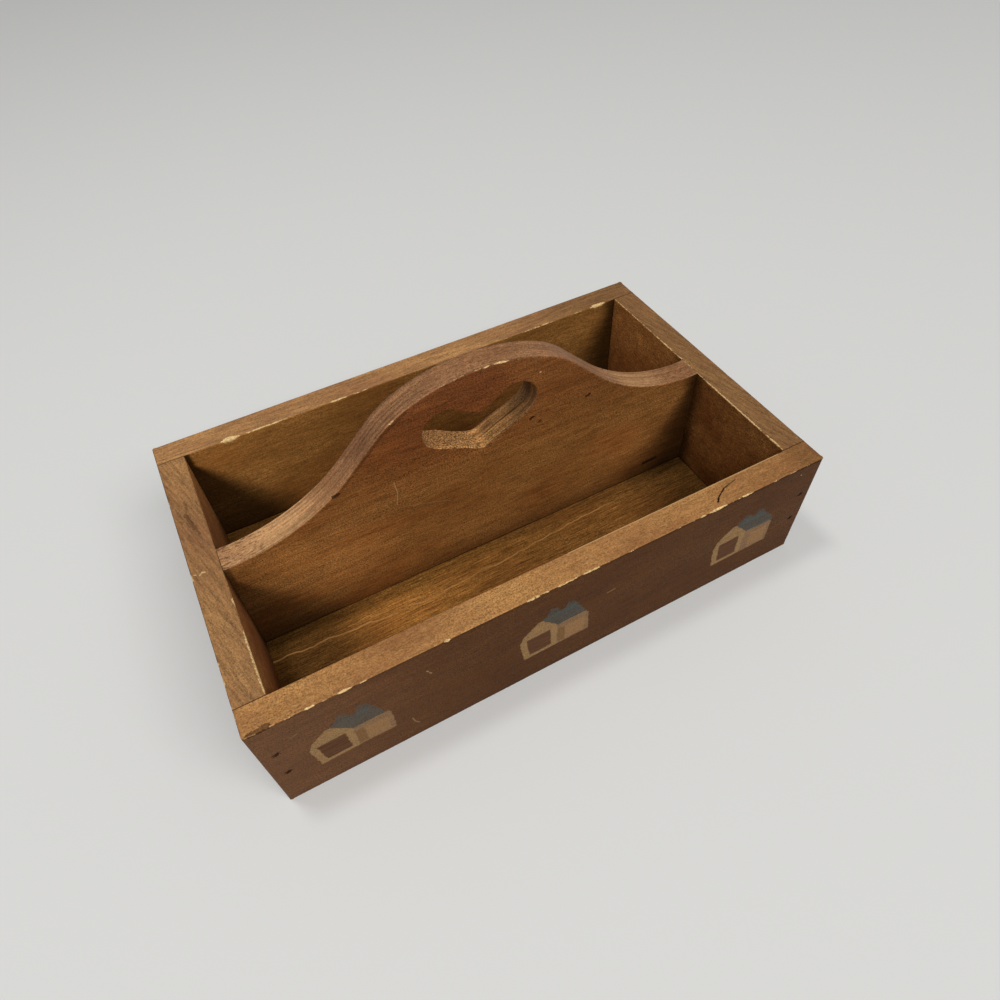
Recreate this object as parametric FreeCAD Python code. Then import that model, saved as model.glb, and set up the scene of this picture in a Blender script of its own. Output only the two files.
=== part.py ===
# Utensil caddy: an open wooden tote with two long compartments.
# Four walls are butted and nailed into a tray frame. A floor panel lies in a rabbet under the walls.
# A tall divider splits the tray and rises in an ogee curve to a crown. The heart cut through it
# makes the crown the carrying handle.
#
# Frame: millimetres, +X along the long walls, -Y towards the painted front, +Z up.
# The origin is the centre of the underside. Each sub-part goes to its own file parts/NODE.step.

import FreeCAD, Part

import math
import os

Vector = FreeCAD.Vector

# ---- Tray frame ---------------------------------------------------------------------------------
LENGTH = 406.0          # outside, along X
DEPTH = 245.0           # outside, along Y
HEIGHT = 99.5           # rim above the table
BOARD = 19.0            # thickness of the walls and the divider
EDGE_EASE = 0.8         # rounding of the long outside edges
CORNER_EASE = 2.0       # rounding of the four upright corners
RIM_BEVEL = 0.6         # small bevel round the inside of the rim

# ---- Floor panel --------------------------------------------------------------------------------
PANEL = 6.0             # thickness, and the height of the rabbet that it lies in
RABBET = 9.0            # how far the panel reaches under each wall
PANEL_CLEARANCE = 0.15  # between the panel's edge and the end of its rabbet

# ---- Divider and handle -------------------------------------------------------------------------
HANDLE_RISE = 82.5      # crown above the rim
CROWN_RADIUS = 125.0    # top of the handle
CROWN_HALF_ANGLE = 23.5 # degrees, from the crown's top to where the shoulder starts
SHOULDER_RADIUS = 70.0  # tighter turn from the crown into the slope
SLOPE = 30.0            # straight run between shoulder and sweep
RIM_FLAT = 1.5          # level run where the outline meets the end wall
HANDLE_EASE = 1.2       # rounding of the edges that a hand touches

# ---- Heart cut through the handle ---------------------------------------------------------------
GRIP = 23.0             # wood left between the crown and the top of the heart
HEART_WIDTH = 83.0
HEART_HEIGHT = 45.5     # from the tip to the tops of the lobes
HEART_NOTCH = 14.0      # depth of the notch between the lobes
HEART_LOBE = 15.0       # radius of each lobe
HEART_TIP_RADIUS = 4.5
HEART_NOTCH_RADIUS = 2.0

# ---- Finish nails in the walls: flat wire, a T head and a chisel point --------------------------
NAIL_LENGTH = 38.0
NAIL_WIDTH = 1.6        # of the wire, along the head
NAIL_THICKNESS = 1.4    # of the wire and the head
NAIL_HEAD = 3.2         # length of the head
NAIL_SET = 1.0          # how far the heads are driven below the surface
NAIL_PITCH = 27.0       # between the two nails of a joint
LEFT_NAIL_TURN = 80.0   # degrees that the heads lean from upright, at the left end
RIGHT_NAIL_TURN = 25.0

# ---- Brads under the floor panel ----------------------------------------------------------------
BRAD_LENGTH = 19.0
BRAD_WIDTH = 1.2
BRAD_THICKNESS = 1.0
BRAD_HEAD = 1.9
BRAD_SET = 0.3
BRAD_MARGIN = 26.0      # from the inside of a corner to the first brad
LONG_WALL_BRAD_COUNT = 5
END_WALL_BRAD_COUNT = 3
DIVIDER_BRAD_COUNT = 4

NAIL_CLEARANCE = 0.02   # between a nail and the hole that it has driven, on each side
POINT_RATIO = 1.8       # length of a nail's point, in thicknesses of its wire
EDGE_RATIO = 0.15       # width of the blunt edge that the point ends in, in the same
HEAD_RATIO = 0.8        # height of a nail's head, in the same
OVERSHOOT = 1.0         # how far cutting tools reach past the faces that they cut

# ---- Places that several pieces share -----------------------------------------------------------
INNER_LENGTH = LENGTH - 2 * BOARD
INNER_DEPTH = DEPTH - 2 * BOARD
PANEL_LENGTH = INNER_LENGTH + 2 * RABBET
PANEL_DEPTH = INNER_DEPTH + 2 * RABBET
COMPARTMENT = (INNER_DEPTH - BOARD) / 2
NAIL_CENTRE_HEIGHT = (PANEL + HEIGHT) / 2
NAIL_HEIGHTS = (NAIL_CENTRE_HEIGHT - NAIL_PITCH / 2, NAIL_CENTRE_HEIGHT + NAIL_PITCH / 2)
CROWN_HEIGHT = HEIGHT + HANDLE_RISE
HEART_TOP = CROWN_HEIGHT - GRIP

LEFT, RIGHT = -1, 1
FRONT, REAR = -1, 1
NAIL_TURNS = {LEFT: LEFT_NAIL_TURN, RIGHT: RIGHT_NAIL_TURN}
SIDE_NAMES = {LEFT: "left", RIGHT: "right"}
FACE_NAMES = {FRONT: "front", REAR: "rear"}


# ---- Small helpers ------------------------------------------------------------------------------
def centred_box(length, depth, bottom, top):
    """A box centred on the Z axis, from one height to another."""
    corner = Vector(-length / 2, -depth / 2, bottom)
    return Part.makeBox(length, depth, top - bottom, corner)


def edges_where(shape, test):
    """The edges that pass a test of their middle point and themselves."""
    found = []
    for edge in shape.Edges:
        middle = edge.valueAt((edge.FirstParameter + edge.LastParameter) / 2)
        if test(middle, edge):
            found.append(edge)
    return found


def near(a, b):
    return abs(a - b) < 1e-4


def upright(edge):
    """True for a straight edge that runs along Z."""
    return near(edge.BoundBox.XLength, 0) and near(edge.BoundBox.YLength, 0)


def evenly(count, span):
    """Places along a centred span, first and last on its ends."""
    if count == 1:
        return [0.0]
    return [span * (i / (count - 1) - 0.5) for i in range(count)]


# ---- Nails --------------------------------------------------------------------------------------
def profile_prism(points, width, along_x):
    """A symmetric profile of (half width, height) points, extruded evenly along X or Y."""
    outline = points + [(-half, height) for half, height in reversed(points)]
    if along_x:
        corners = [Vector(-width / 2, half, height) for half, height in outline]
        run = Vector(width, 0, 0)
    else:
        corners = [Vector(half, -width / 2, height) for half, height in outline]
        run = Vector(0, width, 0)
    return Part.Face(Part.makePolygon(corners + corners[:1])).extrude(run)


class Fastener:
    """One kind of collated nail: the solid that is driven, and the hole that it leaves.

    Both point down -Z, with the head's length along X and the surface of the wood at height 0.
    """

    def __init__(self, length, width, thickness, head, set_depth):
        self.length = length
        self.width = width
        self.thickness = thickness
        self.head = head
        self.set_depth = set_depth
        self.nail = self._wire(0.0)
        self.hole = self._wire(NAIL_CLEARANCE).fuse(self._mouth(NAIL_CLEARANCE)).removeSplitter()

    def _wire(self, grow):
        """Head, wire and chisel point, larger by a clearance all round for the hole."""
        top = -self.set_depth
        tip = top - self.length - grow
        neck = top - self.thickness * HEAD_RATIO - grow
        shoulder = neck - (self.head - self.width) / 2
        point = tip + self.thickness * POINT_RATIO
        half_wire = self.width / 2 + grow
        half_head = self.head / 2 + grow
        half_thickness = self.thickness / 2 + grow
        half_edge = self.thickness * EDGE_RATIO / 2 + grow
        front = [(half_head, top), (half_head, neck), (half_wire, shoulder), (half_wire, tip)]
        side = [(half_thickness, top), (half_thickness, point), (half_edge, tip)]
        seen_from_front = profile_prism(front, self.thickness + 2 * grow, along_x=False)
        seen_from_side = profile_prism(side, self.head + 2 * grow, along_x=True)
        return seen_from_front.common(seen_from_side)

    def _mouth(self, grow):
        """The slot that the head has punched on its way below the surface."""
        length = self.head + 2 * grow
        return centred_box(length, self.thickness + 2 * grow, -self.set_depth, OVERSHOOT)


def placed(shape, place, direction, along):
    """A copy that points into the wood from a place, with its head along a line in the surface."""
    copy = shape.copy()
    up = direction * -1
    turn = FreeCAD.Rotation(along, up.cross(along), up, "ZXY")
    copy.Placement = FreeCAD.Placement(place, turn)
    return copy


NAIL = Fastener(NAIL_LENGTH, NAIL_WIDTH, NAIL_THICKNESS, NAIL_HEAD, NAIL_SET)
BRAD = Fastener(BRAD_LENGTH, BRAD_WIDTH, BRAD_THICKNESS, BRAD_HEAD, BRAD_SET)


def nail_pair(side, x, y, direction):
    """The two nails of a joint at one end of the caddy, one above the other."""
    lean = FreeCAD.Rotation(direction, NAIL_TURNS[side])
    along = lean.multVec(Vector(0, 0, 1))
    return [(NAIL, Vector(x, y, z), direction, along) for z in NAIL_HEIGHTS]


def corner_joint(side, face):
    """Nails through a long wall into the end of an end wall."""
    return nail_pair(side, side * (LENGTH - BOARD) / 2, face * DEPTH / 2, Vector(0, -face, 0))


def divider_joint(side):
    """Nails through an end wall into the end of the divider."""
    return nail_pair(side, side * LENGTH / 2, 0, Vector(-side, 0, 0))


def brad_row(points, along):
    return [(BRAD, Vector(x, y, 0), Vector(0, 0, 1), along) for x, y in points]


def long_wall_brads(face):
    y = face * (INNER_DEPTH + RABBET) / 2
    places = evenly(LONG_WALL_BRAD_COUNT, INNER_LENGTH - 2 * BRAD_MARGIN)
    return brad_row([(x, y) for x in places], Vector(1, 0, 0))


def end_wall_brads(side):
    x = side * (INNER_LENGTH + RABBET) / 2
    places = evenly(END_WALL_BRAD_COUNT, INNER_DEPTH - 2 * BRAD_MARGIN)
    return brad_row([(x, y) for y in places], Vector(0, 1, 0))


def divider_brads():
    places = evenly(DIVIDER_BRAD_COUNT, INNER_LENGTH - 2 * BRAD_MARGIN)
    return brad_row([(x, 0) for x in places], Vector(1, 0, 0))


def nailed(board, *joints):
    """A board with the holes of every nail that passes through or into it."""
    return board.cut([placed(kind.hole, *where) for joint in joints for kind, *where in joint])


def nail_group(joint):
    """The nails of one joint, as separate solids of one sub-part."""
    return Part.makeCompound([placed(kind.nail, *where) for kind, *where in joint])


# ---- Walls --------------------------------------------------------------------------------------
def rabbet_cutter():
    """The room that the floor panel takes under the four walls."""
    length = PANEL_LENGTH + 2 * PANEL_CLEARANCE
    depth = PANEL_DEPTH + 2 * PANEL_CLEARANCE
    return centred_box(length, depth, -OVERSHOOT, PANEL)


def rim_bevel_cutter(face):
    """A shallow frustum that bevels the inside of the rim round one compartment."""
    y = face * (COMPARTMENT + BOARD) / 2
    rings = []
    for height, grow in ((HEIGHT - RIM_BEVEL, 0.0), (HEIGHT + OVERSHOOT, RIM_BEVEL + OVERSHOOT)):
        x_half = INNER_LENGTH / 2 + grow
        y_half = COMPARTMENT / 2 + grow
        signs = ((-1, -1), (1, -1), (1, 1), (-1, 1))
        corners = [Vector(a * x_half, y + b * y_half, height) for a, b in signs]
        rings.append(Part.makePolygon(corners + corners[:1]))
    return Part.makeLoft(rings, True, True)


def eased_outside(board):
    """Rounds the edges of a wall that lie on the outside of the finished box."""
    corners = edges_where(board, lambda point, edge: upright(edge) and corner_post(point))
    if corners:
        board = board.makeFillet(min(CORNER_EASE, BOARD / 3), corners)

    def outside_edge(point, edge):
        at_an_end = near(point.z, 0) or near(point.z, HEIGHT)
        return at_an_end and outside_run(edge)

    return board.makeFillet(min(EDGE_EASE, BOARD / 4), edges_where(board, outside_edge))


def corner_post(point):
    """True on one of the four upright outside corners of the box."""
    return near(abs(point.x), LENGTH / 2) and near(abs(point.y), DEPTH / 2)


def outside_run(edge):
    """True for a level edge that lies in an outside face of the box, or rounds its corner."""
    box = edge.BoundBox
    reach_x = max(abs(box.XMin), abs(box.XMax))
    reach_y = max(abs(box.YMin), abs(box.YMax))
    along_a_long_wall = near(box.YLength, 0) and near(reach_y, DEPTH / 2)
    along_an_end_wall = near(box.XLength, 0) and near(reach_x, LENGTH / 2)
    round_a_corner = near(reach_x, LENGTH / 2) and near(reach_y, DEPTH / 2)
    level = near(box.ZLength, 0)
    return level and (along_a_long_wall or along_an_end_wall or round_a_corner)


def bevelled_rim(board):
    return board.cut([rim_bevel_cutter(FRONT), rim_bevel_cutter(REAR)])


def long_wall(face):
    """Front or rear wall, the full length of the caddy, with a stopped rabbet inside."""
    y = -DEPTH / 2 if face == FRONT else DEPTH / 2 - BOARD
    board = Part.makeBox(LENGTH, BOARD, HEIGHT, Vector(-LENGTH / 2, y, 0))
    board = eased_outside(board)
    board = bevelled_rim(board.cut(rabbet_cutter()))
    return nailed(board, corner_joint(LEFT, face), corner_joint(RIGHT, face), long_wall_brads(face))


def end_wall(side):
    """Left or right wall, held between the long walls."""
    x = -LENGTH / 2 if side == LEFT else LENGTH / 2 - BOARD
    board = Part.makeBox(BOARD, INNER_DEPTH, HEIGHT, Vector(x, -INNER_DEPTH / 2, 0))
    board = eased_outside(board)
    board = bevelled_rim(board.cut(rabbet_cutter()))
    corners = [corner_joint(side, FRONT), corner_joint(side, REAR)]
    return nailed(board, *corners, divider_joint(side), end_wall_brads(side))


def floor_panel():
    """The thin panel that closes the tray from below, flush with the underside of the walls."""
    panel = centred_box(PANEL_LENGTH, PANEL_DEPTH, 0, PANEL)
    long_walls = [long_wall_brads(FRONT), long_wall_brads(REAR)]
    end_walls = [end_wall_brads(LEFT), end_wall_brads(RIGHT)]
    return nailed(panel, *long_walls, *end_walls, divider_brads())


# ---- Divider and handle -------------------------------------------------------------------------
def ogee_curve():
    """The left half of the handle's outline, as (start, middle, end) runs from end wall to crown.

    Crown and shoulder are tangent arcs. The slope leaves the shoulder as a straight line, and the
    sweep is the one arc that joins it smoothly to the level run at the rim.
    """
    crown_angle = math.radians(CROWN_HALF_ANGLE)
    crown_centre = Vector(0, 0, CROWN_HEIGHT - CROWN_RADIUS)
    inwards = CROWN_RADIUS - SHOULDER_RADIUS
    shoulder_centre = crown_centre + Vector(-math.sin(crown_angle), 0, math.cos(crown_angle)) * inwards

    rim_end = Vector(-INNER_LENGTH / 2, 0, HEIGHT)
    sweep_start = rim_end + Vector(RIM_FLAT, 0, 0)
    run = shoulder_centre.x - sweep_start.x
    drop = sweep_start.z - shoulder_centre.z
    reach = run ** 2 + drop ** 2 - SHOULDER_RADIUS ** 2 - SLOPE ** 2
    sweep_radius = reach / (2 * (SHOULDER_RADIUS - drop))
    sweep_centre = sweep_start + Vector(0, 0, sweep_radius)

    # The slope is the inner tangent of the two circles, so its angle follows from their centres.
    between = shoulder_centre - sweep_centre
    bearing = math.atan2(between.x, -between.z)
    slope_angle = bearing - math.atan2(SLOPE, sweep_radius + SHOULDER_RADIUS)

    def on_sweep(angle):
        return sweep_centre + Vector(math.sin(angle), 0, -math.cos(angle)) * sweep_radius

    def on_shoulder(angle):
        return shoulder_centre + Vector(-math.sin(angle), 0, math.cos(angle)) * SHOULDER_RADIUS

    return {
        "rim_end": rim_end,
        "sweep": (sweep_start, on_sweep(slope_angle / 2), on_sweep(slope_angle)),
        "shoulder": (
            on_shoulder(slope_angle),
            on_shoulder((slope_angle + crown_angle) / 2),
            on_shoulder(crown_angle),
        ),
        "crown_top": Vector(0, 0, CROWN_HEIGHT),
    }


def mirrored(point):
    return Vector(-point.x, point.y, point.z)


def divider_outline():
    """The divider's whole outline in the XZ plane."""
    curve = ogee_curve()
    foot = Vector(-INNER_LENGTH / 2, 0, PANEL)
    sweep, shoulder = curve["sweep"], curve["shoulder"]
    crown = Part.Arc(shoulder[2], curve["crown_top"], mirrored(shoulder[2])).toShape()
    edges = [crown]
    for side in (Vector, mirrored):
        edges.append(Part.makeLine(side(foot), side(curve["rim_end"])))
        edges.append(Part.makeLine(side(curve["rim_end"]), side(sweep[0])))
        edges.append(Part.Arc(*[side(point) for point in sweep]).toShape())
        edges.append(Part.makeLine(side(sweep[2]), side(shoulder[0])))
        edges.append(Part.Arc(*[side(point) for point in shoulder]).toShape())
    edges.append(Part.makeLine(foot, mirrored(foot)))
    return Part.Wire(Part.__sortEdges__(edges))


def tangent_point(start, centre, radius, turn):
    """Where a line from a point touches a circle, on the side that turn (+1 or -1) names."""
    way = centre - start
    distance = way.Length
    angle = math.atan2(way.z, way.x) + turn * math.asin(radius / distance)
    along = math.sqrt(distance ** 2 - radius ** 2)
    return start + Vector(math.cos(angle), 0, math.sin(angle)) * along


def heart_outline():
    """Two round lobes, joined by tangents to the notch above and the tip below."""
    lobe_centre = Vector(HEART_WIDTH / 2 - HEART_LOBE, 0, HEART_TOP - HEART_LOBE)
    notch = Vector(0, 0, HEART_TOP - HEART_NOTCH)
    tip = Vector(0, 0, HEART_TOP - HEART_HEIGHT)
    upper = tangent_point(notch, lobe_centre, HEART_LOBE, 1)
    lower = tangent_point(tip, lobe_centre, HEART_LOBE, -1)
    outermost = lobe_centre + Vector(HEART_LOBE, 0, 0)
    edges = []
    for side in (Vector, mirrored):
        edges.append(Part.makeLine(side(notch), side(upper)))
        edges.append(Part.Arc(side(upper), side(outermost), side(lower)).toShape())
        edges.append(Part.makeLine(side(lower), side(tip)))
    return Part.Wire(Part.__sortEdges__(edges))


def prism(outline, depth):
    """An outline in the XZ plane, extruded evenly to both sides of it."""
    face = Part.Face(outline)
    face.translate(Vector(0, -depth / 2, 0))
    return face.extrude(Vector(0, depth, 0))


def heart_cutter():
    """The heart-shaped hole, with its notch and tip rounded as a saw leaves them."""
    cutter = prism(heart_outline(), BOARD + 2 * OVERSHOOT)

    def at_height(height):
        return edges_where(cutter, lambda point, edge: near(point.x, 0) and near(point.z, height))

    cutter = cutter.makeFillet(HEART_TIP_RADIUS, at_height(HEART_TOP - HEART_HEIGHT))
    return cutter.makeFillet(HEART_NOTCH_RADIUS, at_height(HEART_TOP - HEART_NOTCH))


def divider_handle():
    """The tall middle board, from the floor panel to the crown."""
    board = prism(divider_outline(), BOARD).cut(heart_cutter())
    ease = min(HANDLE_EASE, BOARD / 4)
    tip_height = HEART_TOP - HEART_HEIGHT

    def touched_by_hand(point, edge):
        on_a_face = near(abs(point.y), BOARD / 2) and near(edge.BoundBox.YLength, 0)
        inside_heart = abs(point.x) < HEART_WIDTH / 2 + ease and tip_height - ease < point.z
        on_the_curve = point.z > HEIGHT - ease and abs(point.x) < INNER_LENGTH / 2 - ease / 2
        return on_a_face and (inside_heart or on_the_curve)

    board = board.makeFillet(ease, edges_where(board, touched_by_hand))
    return nailed(board, divider_joint(LEFT), divider_joint(RIGHT), divider_brads())


# ---- Assembly -----------------------------------------------------------------------------------
def all_parts():
    """Every sub-part by its node name."""
    parts = {"floor_panel": floor_panel(), "divider_handle": divider_handle()}
    parts["divider_floor_brads"] = nail_group(divider_brads())
    for face, face_name in FACE_NAMES.items():
        parts[f"{face_name}_board"] = long_wall(face)
        parts[f"{face_name}_floor_brads"] = nail_group(long_wall_brads(face))
    for side, side_name in SIDE_NAMES.items():
        parts[f"{side_name}_end_board"] = end_wall(side)
        parts[f"{side_name}_floor_brads"] = nail_group(end_wall_brads(side))
        parts[f"{side_name}_divider_nails"] = nail_group(divider_joint(side))
        for face, face_name in FACE_NAMES.items():
            parts[f"{face_name}_{side_name}_corner_nails"] = nail_group(corner_joint(side, face))
    return parts


def main():
    os.makedirs("parts", exist_ok=True)
    for name, shape in sorted(all_parts().items()):
        shape.exportStep(os.path.join("parts", name + ".step"))
        valid = all(solid.isValid() for solid in shape.Solids)
        print(f"{name}: {len(shape.Solids)} solid(s), valid {valid}, {shape.Volume:.1f} mm3")


main()
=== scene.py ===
"""Looks of the utensil caddy: stained boards with worn arrises, painted cottages and a pale studio.

Everything is in metres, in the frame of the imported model: X along the long walls, -Y towards the
painted front, Z up from the table. Materials work in millimetres, from each piece's own place.
"""

import math

import bmesh
import bpy
import numpy as np
from bpy.props import FloatProperty, FloatVectorProperty, IntProperty, PointerProperty
from mathutils import Matrix, Vector, geometry, noise


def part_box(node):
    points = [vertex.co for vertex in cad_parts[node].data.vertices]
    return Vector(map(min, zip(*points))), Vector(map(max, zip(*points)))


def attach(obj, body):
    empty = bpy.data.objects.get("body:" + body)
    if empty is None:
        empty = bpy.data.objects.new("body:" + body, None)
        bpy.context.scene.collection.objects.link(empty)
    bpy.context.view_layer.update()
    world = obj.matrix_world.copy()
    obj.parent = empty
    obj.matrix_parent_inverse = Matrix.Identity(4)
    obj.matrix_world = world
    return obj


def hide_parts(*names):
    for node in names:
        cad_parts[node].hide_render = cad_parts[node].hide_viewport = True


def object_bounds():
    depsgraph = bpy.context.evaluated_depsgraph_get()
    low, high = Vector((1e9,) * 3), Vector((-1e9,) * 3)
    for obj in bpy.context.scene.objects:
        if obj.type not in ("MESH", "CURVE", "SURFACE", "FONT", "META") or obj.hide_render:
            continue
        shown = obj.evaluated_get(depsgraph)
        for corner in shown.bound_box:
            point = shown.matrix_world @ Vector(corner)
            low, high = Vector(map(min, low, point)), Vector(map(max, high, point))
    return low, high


bl_info = {
    "name": "Utensil Caddy",
    "version": (1, 0, 0),
    "blender": (4, 5, 0),
    "location": "3D View > Sidebar > Caddy",
    "description": "Stained boards, worn edges and painted cottages of a wooden utensil caddy",
    "category": "Object",
}

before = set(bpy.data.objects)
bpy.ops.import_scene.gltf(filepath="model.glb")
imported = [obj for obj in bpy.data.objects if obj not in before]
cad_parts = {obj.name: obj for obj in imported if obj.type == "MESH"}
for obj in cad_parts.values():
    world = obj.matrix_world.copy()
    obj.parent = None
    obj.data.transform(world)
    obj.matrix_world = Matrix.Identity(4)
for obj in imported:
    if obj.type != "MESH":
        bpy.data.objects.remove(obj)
CAD_BOX = [list(corner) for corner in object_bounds()]
MM = 0.001
X, Y, Z = range(3)
DOWN, UP = -1, 1
LEFT, RIGHT, FRONT, REAR = -1, 1, -1, 1


# ---- Property helpers ---------------------------------------------------------------------------
def length(name, default, description):
    """A size in metres that the sidebar shows in the scene's unit."""
    return FloatProperty(
        name=name, description=description, default=default, min=0.0, precision=5, unit="LENGTH"
    )


def share(name, default, description):
    """A strength from nothing to full."""
    return FloatProperty(
        name=name, description=description, default=default, min=0.0, max=1.0, subtype="FACTOR"
    )


def watts(name, default, description):
    """The power of a lamp."""
    return FloatProperty(name=name, description=description, default=default, min=0.0, unit="POWER")


def degrees(name, default, description):
    """An angle, given here in degrees."""
    turn = math.radians(default)
    return FloatProperty(name=name, description=description, default=turn, subtype="ANGLE")


def number(name, default, description):
    """How many of a thing there are."""
    return IntProperty(name=name, description=description, default=default, min=1)


def colour(name, rgb, description):
    """A colour given by its 8-bit display values, kept as linear light."""
    linear = [((v / 255 + 0.055) / 1.055) ** 2.4 for v in rgb]
    return FloatVectorProperty(
        name=name, description=description, default=linear, size=3, min=0.0, max=1.0,
        subtype="COLOR",
    )


# ---- Sizes and colours that a user would change -------------------------------------------------
class CaddySizes(bpy.types.PropertyGroup):
    """Edges, curves and joints of the boards."""

    edge_ease: length("Edge ease", 0.8 * MM, "Rounding of the long outside edges")
    corner_ease: length("Corner ease", 2.0 * MM, "Rounding of the four upright corners")
    rim_ease: length("Rim ease", 0.8 * MM, "Rounding round the inside of the rim")
    seam_ease: length("Seam ease", 0.3 * MM, "Rounding where two boards meet")
    handle_ease: length("Handle ease", 1.2 * MM, "Rounding of the edges that a hand touches")
    mesh_step: length("Mesh step", 3.0 * MM, "Spacing of mesh lines along an edge")
    crown_radius: length("Crown radius", 125 * MM, "Top of the handle")
    crown_half_angle: degrees("Crown half angle", 23.5, "From the crown's top to the shoulder")
    shoulder_radius: length("Shoulder radius", 70 * MM, "Turn from the crown into the slope")
    slope: length("Slope", 30 * MM, "Straight run between shoulder and sweep")
    rim_flat: length("Rim flat", 1.5 * MM, "Level run where the handle meets an end wall")
    grip: length("Grip", 23 * MM, "Wood left between the crown and the heart")
    heart_width: length("Heart width", 83 * MM, "Width of the hand hole")
    heart_height: length("Heart height", 45.5 * MM, "From the tip to the tops of the lobes")
    heart_notch: length("Heart notch", 14 * MM, "Depth of the notch between the lobes")
    heart_lobe: length("Heart lobe", 15 * MM, "Radius of each lobe")
    tip_radius: length("Tip radius", 4.5 * MM, "Rounding of the heart's tip")
    notch_radius: length("Notch radius", 2.0 * MM, "Rounding of the heart's notch")
    nail_pitch: length("Nail pitch", 27 * MM, "Between the two nails of a joint")
    nail_slot: length("Nail slot", 3.24 * MM, "Length of the slot that a nail head has punched")
    nail_slot_width: length("Slot width", 1.44 * MM, "Width of that slot")
    nail_slot_depth: length("Slot depth", 2.1 * MM, "Depth of that slot")
    left_nail_turn: degrees("Left nail turn", 80, "Lean of the heads at the left end")
    right_nail_turn: degrees("Right nail turn", 25, "Lean of the heads at the right end")
    brad_slot: length("Brad slot", 1.94 * MM, "Length of the slot over a floor brad")
    brad_slot_width: length("Brad slot width", 1.04 * MM, "Width of that slot")
    brad_slot_depth: length("Brad slot depth", 1.0 * MM, "Depth of that slot")
    long_wall_brads: number("Long wall brads", 5, "Brads under each long wall")
    end_wall_brads: number("End wall brads", 3, "Brads under each end wall")
    divider_brads: number("Divider brads", 4, "Brads under the divider")


class CaddyFinish(bpy.types.PropertyGroup):
    """Colours of the stain, the worn wood and the nails."""

    face_brown: colour("Face brown", (91, 58, 31), "Brown wash on the outside faces")
    face_shade: colour("Face shade", (79, 47, 23), "Darker clouds in that wash")
    rim_tan: colour("Rim tan", (180, 131, 78), "Stain on the front rim")
    rim_shade: colour("Rim shade", (152, 104, 63), "Darker clouds on the rims")
    inner_gold: colour("Inner gold", (179, 124, 66), "Pale stain inside")
    inner_brown: colour("Inner brown", (135, 81, 37), "Middle stain inside")
    inner_olive: colour("Inner olive", (168, 122, 48), "Yellower stain low down inside")
    inner_red: colour("Inner red", (118, 62, 29), "Reddish stain near the handle")
    sawn_pink: colour("Sawn pink", (184, 134, 92), "Pale wood of the sawn top edge")
    sawn_brown: colour("Sawn brown", (116, 70, 40), "Dark layers of the sawn top edge")
    heart_tan: colour("Heart tan", (214, 158, 94), "Cut wood inside the heart")
    dust: colour("Dust", (158, 136, 116), "Greyish film on the rims and inside")
    bare_wood: colour("Bare wood", (234, 198, 138), "Wood where the stain has worn away")
    pore_brown: colour("Pore brown", (52, 28, 12), "Pores, cracks and dirt in the joints")
    nail_steel: colour("Nail steel", (62, 54, 48), "Darkened steel of the nails")
    stain_roughness: share("Stain roughness", 0.5, "Roughness of the stained faces")


class CaddyCottages(bpy.types.PropertyGroup):
    """The three stencilled cottages on the front wall."""

    wall_tan: colour("Wall tan", (148, 116, 76), "Gable and outline")
    wing_tan: colour("Wing tan", (136, 105, 74), "Side wing")
    block_orange: colour("Block orange", (146, 110, 72), "Middle of the wing")
    band_tan: colour("Band tan", (122, 88, 52), "Darker band beside the gable")
    roof_blue: colour("Roof blue", (76, 82, 77), "Dusty blue green roof")
    door_brown: colour("Door brown", (84, 50, 30), "Reddish opening")
    first: length("First cottage", 25.5 * MM, "From the left end to the first cottage")
    pitch: length("Cottage pitch", 142 * MM, "From the first cottage to the second")
    last_pitch: length("Last pitch", 156 * MM, "From the second cottage to the third")


class CaddyStudio(bpy.types.PropertyGroup):
    """Floor, lamps and camera."""

    floor_colour: colour("Floor", (228, 228, 226), "Plain pale floor")
    floor_size: length("Floor size", 30.0, "Side of the square floor")
    key_power: watts("Key power", 6.0, "Lamp overhead, a little behind and to the left")
    key_size: length("Key size", 0.25, "Side of that lamp")
    fill_power: watts("Fill power", 392.0, "Broad lamp above the front")
    fill_width: length("Fill width", 8.4, "Width of that lamp, from left to right")
    fill_depth: length("Fill depth", 3.5, "Its other side")
    world_light: FloatProperty(
        name="World light", description="Even light from all round", default=0.2, min=0.0
    )
    focal_length: FloatProperty(
        name="Focal length", description="Millimetres on a 36 mm sensor", default=25.77, min=1.0
    )


PROPERTY_GROUPS = {
    "caddy_sizes": CaddySizes,
    "caddy_finish": CaddyFinish,
    "caddy_cottages": CaddyCottages,
    "caddy_studio": CaddyStudio,
}


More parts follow.
